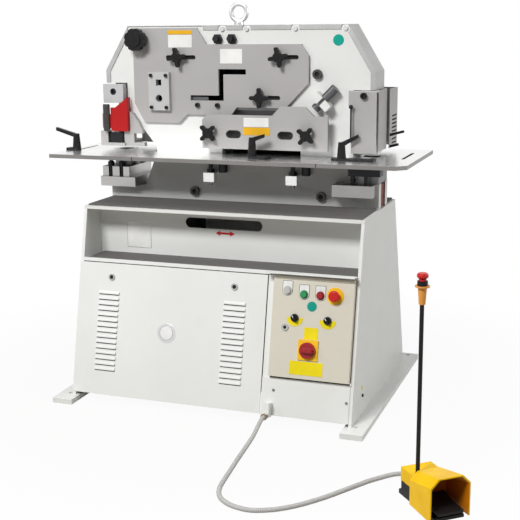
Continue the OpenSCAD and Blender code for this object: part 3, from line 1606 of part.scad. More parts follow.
// The hood's form, set in by a wall
module hood_loft(wall, low, past) {
  hull() {
    rib(-switch_mid + wall, -switch_mid + wall + shell_t)
      hood_section(hood_w - 2 * shell_t - 2 * wall, hood_back_h - wall, low);
    rib(switch_mouth - shell_t, switch_mouth + past) hood_section(hood_w - 2 * wall, hood_h - wall, low);
  }
}
module footswitch_hood() {
  color(yellow) on_switch() {
    difference() {
      hood_loft(0, hood_low, 0);
      hood_loft(shell_t, -over, over);
      block([-switch_mid - over, -switch_base_w / 2 - seat_gap, 0],
      [switch_mouth, switch_base_w / 2 + seat_gap, switch_plate_h + seat_gap]);
    }
    block([-switch_back, -switch_rear_w / 2, switch_base_h], [-switch_mid, switch_rear_w / 2, switch_rear_h]);
    translate([pole_at.x, pole_at.y, pole_top]) difference() {
      union() {
        cylinder(d1 = bell_low_d, d2 = bell_d, h = bell_l);
        bar_z(0, 0, rim_d, bell_l, bell_l + rim_l);
      }
      bar_z(0, 0, run(plunger_d), bell_l + rim_l - plunger_in - estop_travel - over, bell_l + rim_l + over);
    }
  }
}
module foot_treadle() {
  color(black) on_switch() difference() {
    slab(-treadle_w / 2, treadle_w / 2) {
      polygon([treadle_pivot, [treadle_mouth, treadle_z], [treadle_mouth, treadle_z + treadle_t],
      [treadle_pivot.x, treadle_pivot.y + treadle_hub_d / 2]]);
      translate(treadle_pivot) circle(d = treadle_hub_d);
    }
    bar_y(treadle_pivot, run(treadle_pin_d), -treadle_w, treadle_w);
  }
}
mushroom_d = 34;
mushroom_l = 18;
module foot_estop() {
  color(red) on_switch() translate([pole_at.x, pole_at.y, collar_low]) {
    bar_z(0, 0, plunger_d, -plunger_in, collar_l + estop_travel + over);
    translate([0, 0, collar_l + estop_travel + free_gap]) mushroom(mushroom_d, plunger_d, mushroom_l);
  }
}

// Conduit from the gland over the floor to the back of the foot switch
conduit_side = 10;
conduit_entry = 25;
entry_steps = [44, 22, 0];
// Point behind the foot switch, at a distance from its rear face
function behind_switch(d) = [
  switch_x - (switch_back + d) * cos(switch_turn) - conduit_side * sin(switch_turn),
  -switch_y - (switch_back + d) * sin(switch_turn) + conduit_side * cos(switch_turn), conduit_entry];
conduit_points = concat([[gland_x, -gland_face, gland_z], [gland_x, -gland_face - gland_d, gland_z]], [
  [248, -562, 30], [250, -615, 16], [253, -680, 9], [260, -755, 9],
  [267, -831, 9], [275, -905, 9], [282, -973, 9], [290, -1030, 9], [307, -1078, 9], [335, -1113, 9],
  [378, -1138, 9], [434, -1146, 9], [489, -1126, 9], [530, -1097, 9], [566, -1062, 9], [600, -1020, 9],
  [634, -972, 9], [677, -903, 9], [718, -838, 9], [749, -799, 9], [779, -773, 12], [808, -767, 17],
  [834, -781, 22]], [for (d = entry_steps) behind_switch(d)]);
conduit_sides = 8;
rib_step = 6;
rib_depth = 0.9;
bore_step = 24;
conduit_last = len(conduit_points) - 1;
// Point at t along the smooth curve through the route's points
function route(t) =
  let (i = min(floor(t), conduit_last - 1), u = t - i,
    a = conduit_points[max(i - 1, 0)], b = conduit_points[i],
    c = conduit_points[i + 1], d = conduit_points[min(i + 2, conduit_last)])
  (2 * b + (c - a) * u + (2 * a - 5 * b + 4 * c - d) * u * u + (3 * b - a - 3 * c + d) * u * u * u) / 2;
function heading(t) =
  let (e = 0.01, v = route(min(t + e, conduit_last)) - route(max(t - e, 0))) v / norm(v);
// Places along the route, about step apart
function stations(step) = concat(
  [for (i = [0:conduit_last - 1])
    let (n = max(1, round(norm(conduit_points[i + 1] - conduit_points[i]) / step)))
    for (j = [0:n - 1]) i + j / n], [conduit_last]);
function ring(t, r) =
  let (p = route(t), f = heading(t), s0 = cross([0, 0, 1], f), s = s0 / norm(s0), u = cross(f, s))
  [for (k = [0:conduit_sides - 1]) let (a = (k + 0.5) * 360 / conduit_sides)
    p + r * cos(a) * s + r * sin(a) * u];
module conduit() {
  outer = stations(rib_step);
  inner = stations(bore_step);
  n = len(outer);
  m = len(inner);
  c = conduit_sides;
  points = concat(
    [for (i = [0:n - 1]) each ring(outer[i], conduit_d / 2 - (i % 2) * rib_depth * (i < n - 1 ? 1 : 0))],
    [for (i = [0:m - 1]) each ring(inner[i], conduit_bore / 2)]);
  base = n * c;
  faces = concat(
    [for (i = [0:n - 2], k = [0:c - 1]) let (a = i * c + k, b = i * c + (k + 1) % c)
      each [[a, a + c, b + c], [a, b + c, b]]],
    [for (i = [0:m - 2], k = [0:c - 1]) let (a = base + i * c + k, b = base + i * c + (k + 1) % c)
      each [[a, b + c, a + c], [a, b, b + c]]],
    [for (k = [0:c - 1]) let (a = k, b = (k + 1) % c)
      each [[a, b, base + b], [a, base + b, base + a]]],
    [for (k = [0:c - 1]) let (o = (n - 1) * c, q = base + (m - 1) * c, a = k, b = (k + 1) % c)
      each [[o + a, q + b, o + b], [o + a, q + a, q + b]]]);
  color(steel) polyhedron(points = points, faces = faces);
}

front_plate();
rear_plate();
rim_cover();
base_left_side();
base_right_side();
base_deck();
tray_recess();
rear_panel();
base_rails();
rubber_mats();
eyebolt();
frame_bolts();
pivot_pin();
fixed_blades();
guide_pads();
punch_die_set();
stripper();
notch_die_set();
notch_guard();
punch_table();
feed_table();
notch_table();
table_brackets();
cylinder_barrel();
hydraulic_unit();
control_box();
conduit_gland();
conduit();
footswitch_base();
footswitch_hood();
beam();
punch_ram();
notch_ram();
cylinder_rod();
angle_guard();
flat_guard();
star_knob_1();
star_knob_2();
star_knob_3();
star_knob_4();
star_knob_5();
lobed_knob();
punch_fence();
feed_fence();
notch_fence();
punch_clamp_lever();
feed_clamp_lever();
notch_clamp_lever();
hold_down_screw();
punch_guard();
control_door();
start_button();
stop_button();
panel_estop();
selector_left();
selector_right();
main_switch();
front_door();
foot_treadle();
foot_estop();
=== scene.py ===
"""Looks of a hydraulic ironworker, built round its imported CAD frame.

Metres, in the frame of the part: +X right, -Y front, +Z up, origin on the floor.
"""

import math

import bmesh
import bpy
from mathutils import Matrix, Vector


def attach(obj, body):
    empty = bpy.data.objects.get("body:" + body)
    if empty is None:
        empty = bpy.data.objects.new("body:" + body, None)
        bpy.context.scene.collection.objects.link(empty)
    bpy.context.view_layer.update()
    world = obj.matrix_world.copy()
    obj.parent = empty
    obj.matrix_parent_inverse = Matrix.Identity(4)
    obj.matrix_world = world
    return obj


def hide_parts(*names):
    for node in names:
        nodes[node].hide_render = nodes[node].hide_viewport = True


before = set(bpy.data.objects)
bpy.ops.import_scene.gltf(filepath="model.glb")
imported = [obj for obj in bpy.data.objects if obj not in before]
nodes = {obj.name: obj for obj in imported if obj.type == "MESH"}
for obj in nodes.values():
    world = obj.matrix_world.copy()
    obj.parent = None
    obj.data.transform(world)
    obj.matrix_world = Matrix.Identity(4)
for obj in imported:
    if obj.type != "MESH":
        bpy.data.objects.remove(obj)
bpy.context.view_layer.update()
MM = 0.001
ROOT = "machine"


# Camera
IMAGE_PX = 520
CLIP_END = 100
FOCAL_PX = 1037.8
SENSOR = 36.0
CAMERA_PLACE = Vector((1.4382, -3.8153, 1.4155))
CAMERA_YAW = math.radians(19.887)
CAMERA_PITCH = math.radians(12.708)
CAMERA_ROLL = math.radians(-0.533)


def make_camera():
    data = bpy.data.cameras.new("camera")
    data.sensor_width = SENSOR
    data.lens = FOCAL_PX * SENSOR / IMAGE_PX
    data.clip_end = CLIP_END
    camera = bpy.data.objects.new("camera", data)
    bpy.context.collection.objects.link(camera)
    ahead = Vector((
        -math.sin(CAMERA_YAW) * math.cos(CAMERA_PITCH),
        math.cos(CAMERA_YAW) * math.cos(CAMERA_PITCH),
        -math.sin(CAMERA_PITCH),
    ))
    level = Vector((math.cos(CAMERA_YAW), math.sin(CAMERA_YAW), 0))
    above = level.cross(ahead)
    right = level * math.cos(CAMERA_ROLL) + above * math.sin(CAMERA_ROLL)
    up = above * math.cos(CAMERA_ROLL) - level * math.sin(CAMERA_ROLL)
    turn = Matrix((right, up, -ahead)).transposed()
    camera.matrix_world = Matrix.Translation(CAMERA_PLACE) @ turn.to_4x4()
    bpy.context.scene.camera = camera


# Materials
class Shader:
    """A material's node tree, with short calls for the nodes that the finishes share."""

    # A mix node's sockets for colours
    FIRST, SECOND, MIXED = 6, 7, 2
    EDGE_SAMPLES = 4

    def __init__(self, name):
        self.material = bpy.data.materials.new(name)
        self.material.use_nodes = True
        self.tree = self.material.node_tree
        self.bsdf = self.tree.nodes["Principled BSDF"]
        self.place = self.tree.nodes.new("ShaderNodeTexCoord").outputs["Object"]

    def link(self, source, target):
        self.tree.links.new(source, target)

    def set(self, **values):
        for name, value in values.items():
            self.bsdf.inputs[name.replace("_", " ")].default_value = value

    def stretched(self, scale):
        node = self.tree.nodes.new("ShaderNodeMapping")
        node.inputs["Scale"].default_value = scale
        self.link(self.place, node.inputs["Vector"])
        return node.outputs["Vector"]

    def noise(self, scale, detail=3, rough=0.5, place=None):
        node = self.tree.nodes.new("ShaderNodeTexNoise")
        node.inputs["Scale"].default_value = scale
        node.inputs["Detail"].default_value = detail
        node.inputs["Roughness"].default_value = rough
        self.link(place or self.place, node.inputs["Vector"])
        return node.outputs["Fac"]

    def ramp(self, value, first, second):
        node = self.tree.nodes.new("ShaderNodeValToRGB")
        for element, (at, colour) in zip(node.color_ramp.elements, (first, second)):
            element.position = at
            element.color = (*colour, 1)
        self.link(value, node.inputs["Fac"])
        return node.outputs["Color"]

    def span(self, value, low, high, start=0.3, end=0.7):
        node = self.tree.nodes.new("ShaderNodeMapRange")
        for name, number in (("From Min", start), ("From Max", end), ("To Min", low), ("To Max", high)):
            node.inputs[name].default_value = number
        self.link(value, node.inputs["Value"])
        return node.outputs["Result"]

    def math(self, kind, a, b):
        node = self.tree.nodes.new("ShaderNodeMath")
        node.operation = kind
        for socket, value in zip(node.inputs, (a, b)):
            if isinstance(value, (int, float)):
                socket.default_value = value
            else:
                self.link(value, socket)
        return node.outputs["Value"]

    def mix(self, share, first, second):
        node = self.tree.nodes.new("ShaderNodeMix")
        node.data_type = "RGBA"
        self.link(share, node.inputs["Factor"])
        for socket, value in ((node.inputs[self.FIRST], first), (node.inputs[self.SECOND], second)):
            if isinstance(value, tuple):
                socket.default_value = (*value, 1)
            else:
                self.link(value, socket)
        return node.outputs[self.MIXED]

    def bump(self, height, strength, distance, normal=None):
        node = self.tree.nodes.new("ShaderNodeBump")
        node.inputs["Strength"].default_value = strength
        node.inputs["Distance"].default_value = distance
        self.link(height, node.inputs["Height"])
        if normal:
            self.link(normal, node.inputs["Normal"])
        return node.outputs["Normal"]

    def soft_edge(self, radius):
        node = self.tree.nodes.new("ShaderNodeBevel")
        node.samples = self.EDGE_SAMPLES
        node.inputs["Radius"].default_value = radius
        return node.outputs["Normal"]

    def edge_share(self, soft, sharpness=6.0):
        """How near a sharp edge a point lies, from the turn of the softened normal."""
        node = self.tree.nodes.new("ShaderNodeVectorMath")
        node.operation = "DOT_PRODUCT"
        geometry = self.tree.nodes.new("ShaderNodeNewGeometry")
        self.link(soft, node.inputs[0])
        self.link(geometry.outputs["Normal"], node.inputs[1])
        turned = self.math("SUBTRACT", 1.0, node.outputs["Value"])
        return self.math("MULTIPLY", turned, sharpness)


def shade(colour, factor):
    return tuple(min(1.0, c * factor) for c in colour)


def paint(name, colour, rough=0.38, peel=0.05, grain=900, wear=(0.30, 0.29, 0.28), worn=0.35,
          gloss=0.5):
    """Enamel: slight drifts of tone, an orange-peel skin and thin wear along its edges."""
    s = Shader(name)
    s.set(Specular_IOR_Level=gloss)
    drift = s.ramp(s.noise(2.3, detail=4), (0.3, shade(colour, 0.955)), (0.7, shade(colour, 1.02)))
    smudge = s.span(s.noise(11, 5, 0.6), 0.0, 0.10, start=0.55, end=0.8)
    tone = s.mix(smudge, drift, shade(colour, 0.78))
    soft = s.soft_edge(1.2 * MM)
    chips = s.span(s.noise(160), 0.0, worn, start=0.55, end=0.72)
    s.link(s.mix(s.math("MULTIPLY", s.edge_share(soft), chips), tone, wear), s.bsdf.inputs["Base Color"])
    s.link(s.span(s.noise(26), rough - 0.05, rough + 0.08), s.bsdf.inputs["Roughness"])
    s.link(s.bump(s.noise(grain, detail=2), peel, 0.4 * MM, soft), s.bsdf.inputs["Normal"])
    return s.material


def metal(name, colour, rough=0.28, lines=(3, 240, 240), depth=0.05, stain=0.5):
    """Machined steel: fine lay lines, faint stains and a soft edge."""
    s = Shader(name)
    s.set(Metallic=1.0)
    lay = s.noise(9, 6, 0.65, s.stretched(lines))
    patch = s.noise(7, 5, 0.6)
    tone = s.ramp(patch, (0.32, shade(colour, 1 - 0.22 * stain)), (0.62, colour))
    s.link(s.mix(s.span(lay, 0.0, 0.25), tone, shade(colour, 0.82)), s.bsdf.inputs["Base Color"])
    s.link(s.span(lay, rough - 0.07, rough + 0.12), s.bsdf.inputs["Roughness"])
    s.link(s.bump(lay, depth, 0.2 * MM, s.soft_edge(0.8 * MM)), s.bsdf.inputs["Normal"])
    return s.material


def plastic(name, colour, rough=0.42, grain=1500, depth=0.08, edge=1.25, gloss=0.5):
    """Moulded plastic: a fine grain, uneven gloss and paler rubbed edges."""
    s = Shader(name)
    s.set(Specular_IOR_Level=gloss)
    soft = s.soft_edge(1.5 * MM)
    tone = s.ramp(s.noise(14, detail=4), (0.3, shade(colour, 0.9)), (0.7, shade(colour, 1.08)))
    rubbed = s.math("MULTIPLY", s.edge_share(soft, sharpness=3.0), s.span(s.noise(90), 0.0, 0.8))
    s.link(s.mix(rubbed, tone, shade(colour, edge)), s.bsdf.inputs["Base Color"])
    s.link(s.span(s.noise(40), rough - 0.06, rough + 0.08), s.bsdf.inputs["Roughness"])
    s.link(s.bump(s.noise(grain, detail=2), depth, 0.2 * MM, soft), s.bsdf.inputs["Normal"])
    return s.material


def rubber(name, colour):
    """Rubber mat: matt, with a fine leathery grain and paler dust."""
    s = Shader(name)
    dust = s.span(s.noise(18, 6, 0.7), 0.0, 0.5)
    speck = s.ramp(s.noise(700, detail=2), (0.35, shade(colour, 0.8)), (0.65, shade(colour, 1.2)))
    s.link(s.mix(dust, speck, shade(colour, 1.5)), s.bsdf.inputs["Base Color"])
    s.link(s.span(dust, 0.75, 0.92, start=0.0, end=0.5), s.bsdf.inputs["Roughness"])
    s.link(s.bump(s.noise(420), 0.5, 0.5 * MM), s.bsdf.inputs["Normal"])
    return s.material


# Finishes: name, colour and roughness, then the other values of their recipe in its order
IVORY = paint("ivory_enamel", (0.815, 0.82, 0.795), 0.36, gloss=0.2)
IVORY_PLATE = paint("ivory_plate", (0.78, 0.785, 0.765), 0.36, gloss=0.2)
GREY = paint("grey_enamel", (0.415, 0.405, 0.40), 0.45, 0.10, 1300, (0.62, 0.61, 0.60), 0.3, gloss=0.3)
RIM = metal("rim_zinc", (0.40, 0.40, 0.395), 0.40, (40, 40, 40), 0.03, 0.8)
STEEL = metal("ground_steel", (0.66, 0.66, 0.66), 0.26)
TABLE = metal("table_steel", (0.90, 0.90, 0.89), 0.24, (2.5, 180, 180), 0.04, 0.35)
BLADE = metal("blade_steel", (0.13, 0.13, 0.135), 0.36, (120, 120, 3), 0.05, 0.6)
OXIDE = metal("black_oxide", (0.030, 0.030, 0.032), 0.42, (60, 60, 60), 0.06, 0.8)
BRONZE = metal("bearing_bronze", (0.48, 0.33, 0.15), 0.34)
BLACK = plastic("black_plastic", (0.008, 0.008, 0.009), 0.30, gloss=0.2)
BASE_BLACK = plastic("switch_black", (0.010, 0.009, 0.009), 0.50, 500, 0.2, gloss=0.18)
RED = paint("red_enamel", (0.42, 0.009, 0.010), 0.32, 0.04, 900, (0.30, 0.08, 0.07), 0.2, gloss=0.25)
RED_PLASTIC = plastic("red_plastic", (0.56, 0.012, 0.012), 0.26, 1800, 0.03, 1.1, gloss=0.3)
DARK_RED = plastic("dark_red_plastic", (0.33, 0.012, 0.016), 0.26, 1800, 0.03, 1.1, gloss=0.35)
GREEN_PLASTIC = plastic("green_plastic", (0.012, 0.24, 0.075), 0.28, 1800, 0.03, 1.1)
YELLOW = plastic("yellow_plastic", (0.99, 0.57, 0.001), 0.36, 900, 0.10, 1.06, gloss=0.12)
# Painted shade: a deeper orange-brown for the inside of the foot switch's hood
HOOD_SHADE = plastic("hood_painted_shade", (0.55, 0.17, 0.003), 0.45, 900, 0.10, 1.0, gloss=0.12)
ORANGE = plastic("orange_plastic", (0.82, 0.36, 0.065), 0.36, 900, 0.10, 1.06, gloss=0.3)
YELLOW_PLATE = plastic("yellow_plate", (0.88, 0.72, 0.012), 0.36, 1500, 0.02, 1.0, gloss=0.2)
AMBER_PLATE = plastic("amber_plate", (0.78, 0.42, 0.02), 0.36, 1500, 0.02, 1.0, gloss=0.2)
SWITCH_YELLOW = plastic("switch_yellow", (0.96, 0.56, 0.022), 0.36, 1500, 0.02, 1.0, gloss=0.2)
WHITE_PLATE = plastic("white_plate", (0.82, 0.82, 0.80), 0.34, 1500, 0.02, 1.0)
LENS = plastic("lamp_lens", (0.50, 0.50, 0.48), 0.18, 900, 0.05, 1.0)
BEIGE = paint("beige_texture", (0.665, 0.63, 0.53), 0.48, 0.30, 700)
MAT = rubber("mat_rubber", (0.105, 0.10, 0.095))
CONDUIT = paint("conduit_zinc", (0.47, 0.465, 0.455), 0.40, 0.12, 600, (0.30, 0.29, 0.28), 0.3, gloss=0.4)
GLAND_BRASS = metal("gland_brass", (0.30, 0.21, 0.14), 0.42, (60, 60, 60), 0.06, 0.8)
HYDRAULIC = paint("hydraulic_grey", (0.040, 0.041, 0.043), 0.40, gloss=0.3)
LIGHT_GREY = paint("light_grey_enamel", (0.51, 0.51, 0.515), 0.42, 0.06, 1100, (0.66, 0.66, 0.66), 0.3,
                   gloss=0.3)
DIE_STEEL = metal("die_steel", (0.20, 0.20, 0.205), 0.40, (60, 60, 60), 0.06, 0.8)
PRIMER = paint("red_primer", (0.17, 0.045, 0.035), 0.6, 0.12, 700, gloss=0.3)
EDGE_STEEL = metal("edge_steel", (0.40, 0.39, 0.38), 0.34, (3, 120, 120), 0.05, 0.6)
# Light grey steel of the punch holder and bolster, made paler than their steel alone: painted light where
# the table shades them
HOLDER_STEEL_LIT = metal("holder_steel_painted_light", (0.56, 0.55, 0.54), 0.34, (3, 120, 120), 0.05, 0.6)
# Darker copy of the table steel for the tables' front edges: painted shade against their bright tops
TABLE_EDGE_SHADE = metal("table_edge_shade", (0.25, 0.24, 0.23), 0.34, (3, 120, 120), 0.05, 0.6)
BOLT_BLACK = metal("bolt_black", (0.075, 0.073, 0.07), 0.36, (60, 60, 60), 0.06, 0.8)
MILL_SCALE = paint("mill_scale", (0.060, 0.056, 0.052), 0.6, 0.15, 500, (0.25, 0.24, 0.23), 0.4, gloss=0.2)
# Black rubber for seals, curtains and seams, and the dark colour of painted shadow in louvres, slots and
# bolt sockets
RUBBER_AND_SHADE = rubber("black_rubber_and_painted_shade", (0.014, 0.014, 0.014))
TEAL_PLATE = plastic("teal_plate", (0.008, 0.34, 0.26), 0.34, 1500, 0.02, 1.0, gloss=0.2)

# Finish of each node
FINISHES = {
    IVORY: "base_left_side base_right_side base_deck tray_recess rear_panel base_rails front_door"
           " conduit_gland",
    IVORY_PLATE: "front_plate rear_plate",
    RIM: "rim_cover",
    GREY: "stripper notch_guard angle_guard flat_guard",
    LIGHT_GREY: "punch_ram",
    STEEL: "eyebolt frame_bolts pivot_pin notch_ram cylinder_rod",
    DIE_STEEL: "punch_die_set notch_die_set beam table_brackets",
    TABLE: "punch_table feed_table notch_table",
    BLADE: "fixed_blades hold_down_screw",
    BLACK: "star_knob_1 star_knob_2 star_knob_3 star_knob_4 star_knob_5 lobed_knob selector_left"
           " selector_right punch_clamp_lever feed_clamp_lever notch_clamp_lever",
    BASE_BLACK: "footswitch_base foot_treadle",
    OXIDE: "punch_fence feed_fence notch_fence",
    BRONZE: "guide_pads",
    RED: "punch_guard",
    RED_PLASTIC: "panel_estop foot_estop",
    DARK_RED: "stop_button main_switch",
    GREEN_PLASTIC: "start_button",
    YELLOW: "footswitch_hood",
    BEIGE: "control_box control_door",
    MAT: "rubber_mats",
    CONDUIT: "conduit",
    HYDRAULIC: "cylinder_barrel hydraulic_unit",
}


def dress_nodes():
    for finish, names in FINISHES.items():
        for name in names.split():
            slots = nodes[name].data.materials
            slots.clear()
            slots.append(finish)


# Planes of the part that finishes and plates follow, in millimetres
FRAME_FACE = -68
ANGLE_FRONT = -80.3
FLAT_FRONT = -117
SHIELD_FRONT = -106
TRAY_BACK = -193
TABLE_FRONT = -265
RIGHT_SIDE = 560
DECK_TOP = 740
TABLE_LOW = 917
TABLE_TOP = 932
STRIPPER_FLOOR = 965
# Room between a plane and a face test, and between a face and a plate on it
MARGIN = 0.5
LIFT = 0.02

# Sloping front: its foot, its lean over its rise, and the control door's face in front of it
FRONT_FOOT = Vector((0, -453, 20))
FRONT_LEAN = 158
FRONT_RISE = 708
FRONT_TILT = math.atan2(FRONT_LEAN, FRONT_RISE)
DOOR_FACE = 20
DOOR_MARGIN = 0.05


def up_front(y, z):
    """Distance up the sloping front, and out of it, of a place in millimetres."""
    dy, dz = y - FRONT_FOOT.y, z - FRONT_FOOT.z
    return (dy * math.sin(FRONT_TILT) + dz * math.cos(FRONT_TILT),
            dz * math.sin(FRONT_TILT) - dy * math.cos(FRONT_TILT))


def near(x, z, places, reach):
    return any(math.hypot(x - a, z - b) < reach for a, b in places)


# Fittings of the control door: places across and up the front, and their reach
LAMP = (297, 471.4)
START = (360, 461.1)
STOP = (421, 461.1)
STOP_PLATE = (476, 463.2)
KEY_SWITCH = (296, 338.2)
MAIN_PLATE = (388, 262.4)
BEZEL_REACH = 16
STOP_PLATE_REACH = 32
KEY_REACH = 14
MAIN_HALF = 38


def on_round(place, reach):
    """A test for the faces of a round fitting of the control door."""
    def test(x, y, z):
        up, out = up_front(y, z)
        return out > DOOR_FACE + DOOR_MARGIN and near(x, up, (place,), reach)
    return test


def on_main_plate(x, y, z):
    up, out = up_front(y, z)
    across = max(abs(x - MAIN_PLATE[0]), abs(up - MAIN_PLATE[1]))
    return out > DOOR_FACE + DOOR_MARGIN and across < MAIN_HALF


# Bolts that tie the frame's plates: places, head and socket
TIE_BOLTS = ((-186, 781), (334, 781), (318, 1239))
TIE_REACH = 20
TIE_FRONT = -81.9
SOCKET_REACH = 10.5


def on_tie_head(x, y, z):
    return y < FRAME_FACE - MARGIN and near(x, z, TIE_BOLTS, TIE_REACH)


# Socket insides of the tie bolts, given the black rubber colour: painted shade in the recess
def in_tie_socket(x, y, z):
    return TIE_FRONT < y < FRAME_FACE - MARGIN and near(x, z, TIE_BOLTS, SOCKET_REACH)


# Jack blocks under the feed table: middles, half width, foot, top, and the screw through each
JACKS = (-110, 227)
JACK_HALF = 22.5
JACK_FOOT = 824
JACK_TOP = 862
JACK_BACK = -67.9
JACK_SCREW_Y = -91
JACK_SCREW_REACH = 9
JACK_NUTS_FOOT = 862.2
JACK_SCREWS_TOP = 823.9


def on_jack_block(x, y, z):
    block = any(abs(x - a) < JACK_HALF for a in JACKS) and JACK_FOOT < z < JACK_TOP and y < JACK_BACK
    return block and not near(x, y, [(a, JACK_SCREW_Y) for a in JACKS], JACK_SCREW_REACH)


# Punch holder: its top, its bolts, and the die in it
PUNCH_X = -518
HOLDER_TOP = 870.2
HOLDER_BOLTS = ((-542, 94), (-494, 94))
HOLDER_BOLTS_FOOT = 830.2
HOLDER_BOLT_REACH = 9
HOLDER_NUT_REACH = 18
DIE_FOOT = 901.5
DIE_REACH = 30


def on_holder_bolt(x, y, z):
    reach = HOLDER_BOLT_REACH if z < HOLDER_TOP else HOLDER_NUT_REACH
    return z > HOLDER_BOLTS_FOOT and near(x, abs(y), HOLDER_BOLTS, reach)


def on_die(x, y, z):
    return z > DIE_FOOT and math.hypot(x - PUNCH_X, y) < DIE_REACH


# Post of the red guard, and the punch, nut and bolt of the punch ram
POST = (-564, -84)
POST_REACH = 10
POST_FOOT = 1011.2
KNUCKLE_REACH = 14
RAM_FOOT = 1122.8
RAM_BOLT = (PUNCH_X, 1167)
RAM_BOLT_REACH = 13.2
RAM_BOLT_BACK = -80


def on_post(x, y, z):
    return z > POST_FOOT and near(x, y, (POST,), POST_REACH)


def on_knuckle(x, y, z):
    return near(x, y, (POST,), KNUCKLE_REACH)


def on_punch_or_bolt(x, y, z):
    return z < RAM_FOOT or (y < RAM_BOLT_BACK and near(x, z, (RAM_BOLT,), RAM_BOLT_REACH))


# Angle guard: the block round its bar openings, the bolts on that block, and those under the Z opening
BLOCK_FRONT = -95.4
BLOCK_BACK = -80.4
BLOCK_RIGHT = -270
ANGLE_BOLTS_TOP = 1135
ANGLE_BOLTS_X = (-180, -60)


def on_angle_bolts(x, y, z):
    low, high = ANGLE_BOLTS_X
    return y < BLOCK_FRONT or (y < BLOCK_BACK and z < ANGLE_BOLTS_TOP and low < x < high)


def on_bar_block(x, y, z):
    return BLOCK_FRONT < y < BLOCK_BACK and x < BLOCK_RIGHT


# Places where other nodes change their finish, in millimetres
GUIDE_SCREWS_BACK = -60
NOTCH_STUDS_BACK = -68.35
NOTCH_HOLDER_TOP = 837.3
NOTCH_BOLT_BACK = -130.2
NOTCH_GRIPS_LEFT = 561.2
NOTCH_GRIPS_BACK = 96
POLE_HEAD_FOOT = 400
LOCKS_FOOT = 452
LOCKS_BACK = 3.35
PANEL_SCREWS_BACK = 3.05
SPACER_LEFT = 544
SPACER_TOP = 831
SPACER_HALF = 33.2
GLAND_NUT_BACK = -490


def on_locks(x, y, z):
    up, out = up_front(y, z)
    return out > LOCKS_BACK and up > LOCKS_FOOT


def on_right_spacer(x, y, z):
    return x > SPACER_LEFT and z < SPACER_TOP and abs(y) < SPACER_HALF


def on_tool_top(x, y, z):
    return z > TABLE_TOP - MARGIN


def on_table_edge(x, y, z):
    return TABLE_LOW + MARGIN < z < TABLE_TOP - MARGIN


def on_table_underside(x, y, z):
    return z < TABLE_LOW + MARGIN


TABLES = ("punch_table", "feed_table", "notch_table")
# Faces with a finish of their own: node, finish, test of a face's middle in millimetres
FACE_FINISHES = (
    ("frame_bolts", BOLT_BLACK, on_tie_head),
    # Painted shade in the tie bolts' sockets
    ("frame_bolts", RUBBER_AND_SHADE, in_tie_socket),
    ("guide_pads", OXIDE, lambda x, y, z: y < GUIDE_SCREWS_BACK),
    # The jack blocks take the bright table steel: painted light, as if lit under the table
    ("table_brackets", TABLE, on_jack_block),
    ("table_brackets", OXIDE, lambda x, y, z: z > JACK_NUTS_FOOT),
    ("table_brackets", STEEL, lambda x, y, z: z < JACK_SCREWS_TOP),
    # Holder and bolster: light grey steel with painted light
    ("punch_die_set", HOLDER_STEEL_LIT, lambda x, y, z: z < HOLDER_TOP),
    ("punch_die_set", OXIDE, on_holder_bolt),
    ("punch_die_set", STEEL, on_tool_top),
    ("punch_die_set", OXIDE, on_die),
    ("notch_die_set", OXIDE, lambda x, y, z: y < NOTCH_STUDS_BACK and z > NOTCH_HOLDER_TOP),
    ("notch_die_set", EDGE_STEEL, lambda x, y, z: z < NOTCH_HOLDER_TOP),
    ("notch_die_set", STEEL, on_tool_top),
    ("stripper", OXIDE, on_post),
    ("punch_ram", OXIDE, on_punch_or_bolt),
    ("notch_guard", BLACK, lambda x, y, z: y < NOTCH_BOLT_BACK),
    ("notch_guard", BLACK, lambda x, y, z: x > NOTCH_GRIPS_LEFT and y < NOTCH_GRIPS_BACK),
    ("angle_guard", OXIDE, on_angle_bolts),
    ("angle_guard", LIGHT_GREY, on_bar_block),
    ("punch_guard", OXIDE, on_knuckle),
    ("control_door", SWITCH_YELLOW, on_main_plate),
    ("control_door", SWITCH_YELLOW, on_round(STOP_PLATE, STOP_PLATE_REACH)),
    ("control_door", GREEN_PLASTIC, on_round(START, BEZEL_REACH)),
    ("control_door", DARK_RED, on_round(STOP, BEZEL_REACH)),
    ("control_door", LENS, on_round(LAMP, BEZEL_REACH)),
    ("control_door", EDGE_STEEL, on_round(KEY_SWITCH, KEY_REACH)),
    ("footswitch_hood", ORANGE, lambda x, y, z: z > POLE_HEAD_FOOT),
    ("front_door", EDGE_STEEL, on_locks),
    ("base_rails", DIE_STEEL, lambda x, y, z: up_front(y, z)[1] > PANEL_SCREWS_BACK),
    # Front edges of the tables get painted shade
    *((table, TABLE_EDGE_SHADE, on_table_edge) for table in TABLES),
    *((table, MILL_SCALE, on_table_underside) for table in TABLES),
    ("rear_plate", PRIMER, on_right_spacer),
    ("conduit_gland", GLAND_BRASS, lambda x, y, z: y < GLAND_NUT_BACK),
)


def finish_index(mesh, finish):
    """The slot of a finish on a mesh, added if it isn't there yet."""
    if finish.name not in mesh.materials:
        mesh.materials.append(finish)
    return mesh.materials.find(finish.name)


def dress_faces():
    """Gives the faces of a node whose middle passes the test a finish of their own."""
    for name, finish, test in FACE_FINISHES:
        node = nodes[name]
        index = finish_index(node.data, finish)
        for face in node.data.polygons:
            if test(*(node.matrix_world @ face.center / MM)):
                face.material_index = index


# Foot switch: its place and turn, and what tells the inside of its hood, which gets painted shade
SWITCH_PLACE = Vector((931, -918, 0)) * MM
SWITCH_TURN = math.radians(-49.5)
HOOD_AXIS = 40 * MM
HOOD_TOP = 200 * MM
HOOD_BACK = 18 * MM
INWARD_SHARE = 0.2
AHEAD_SHARE = 0.9


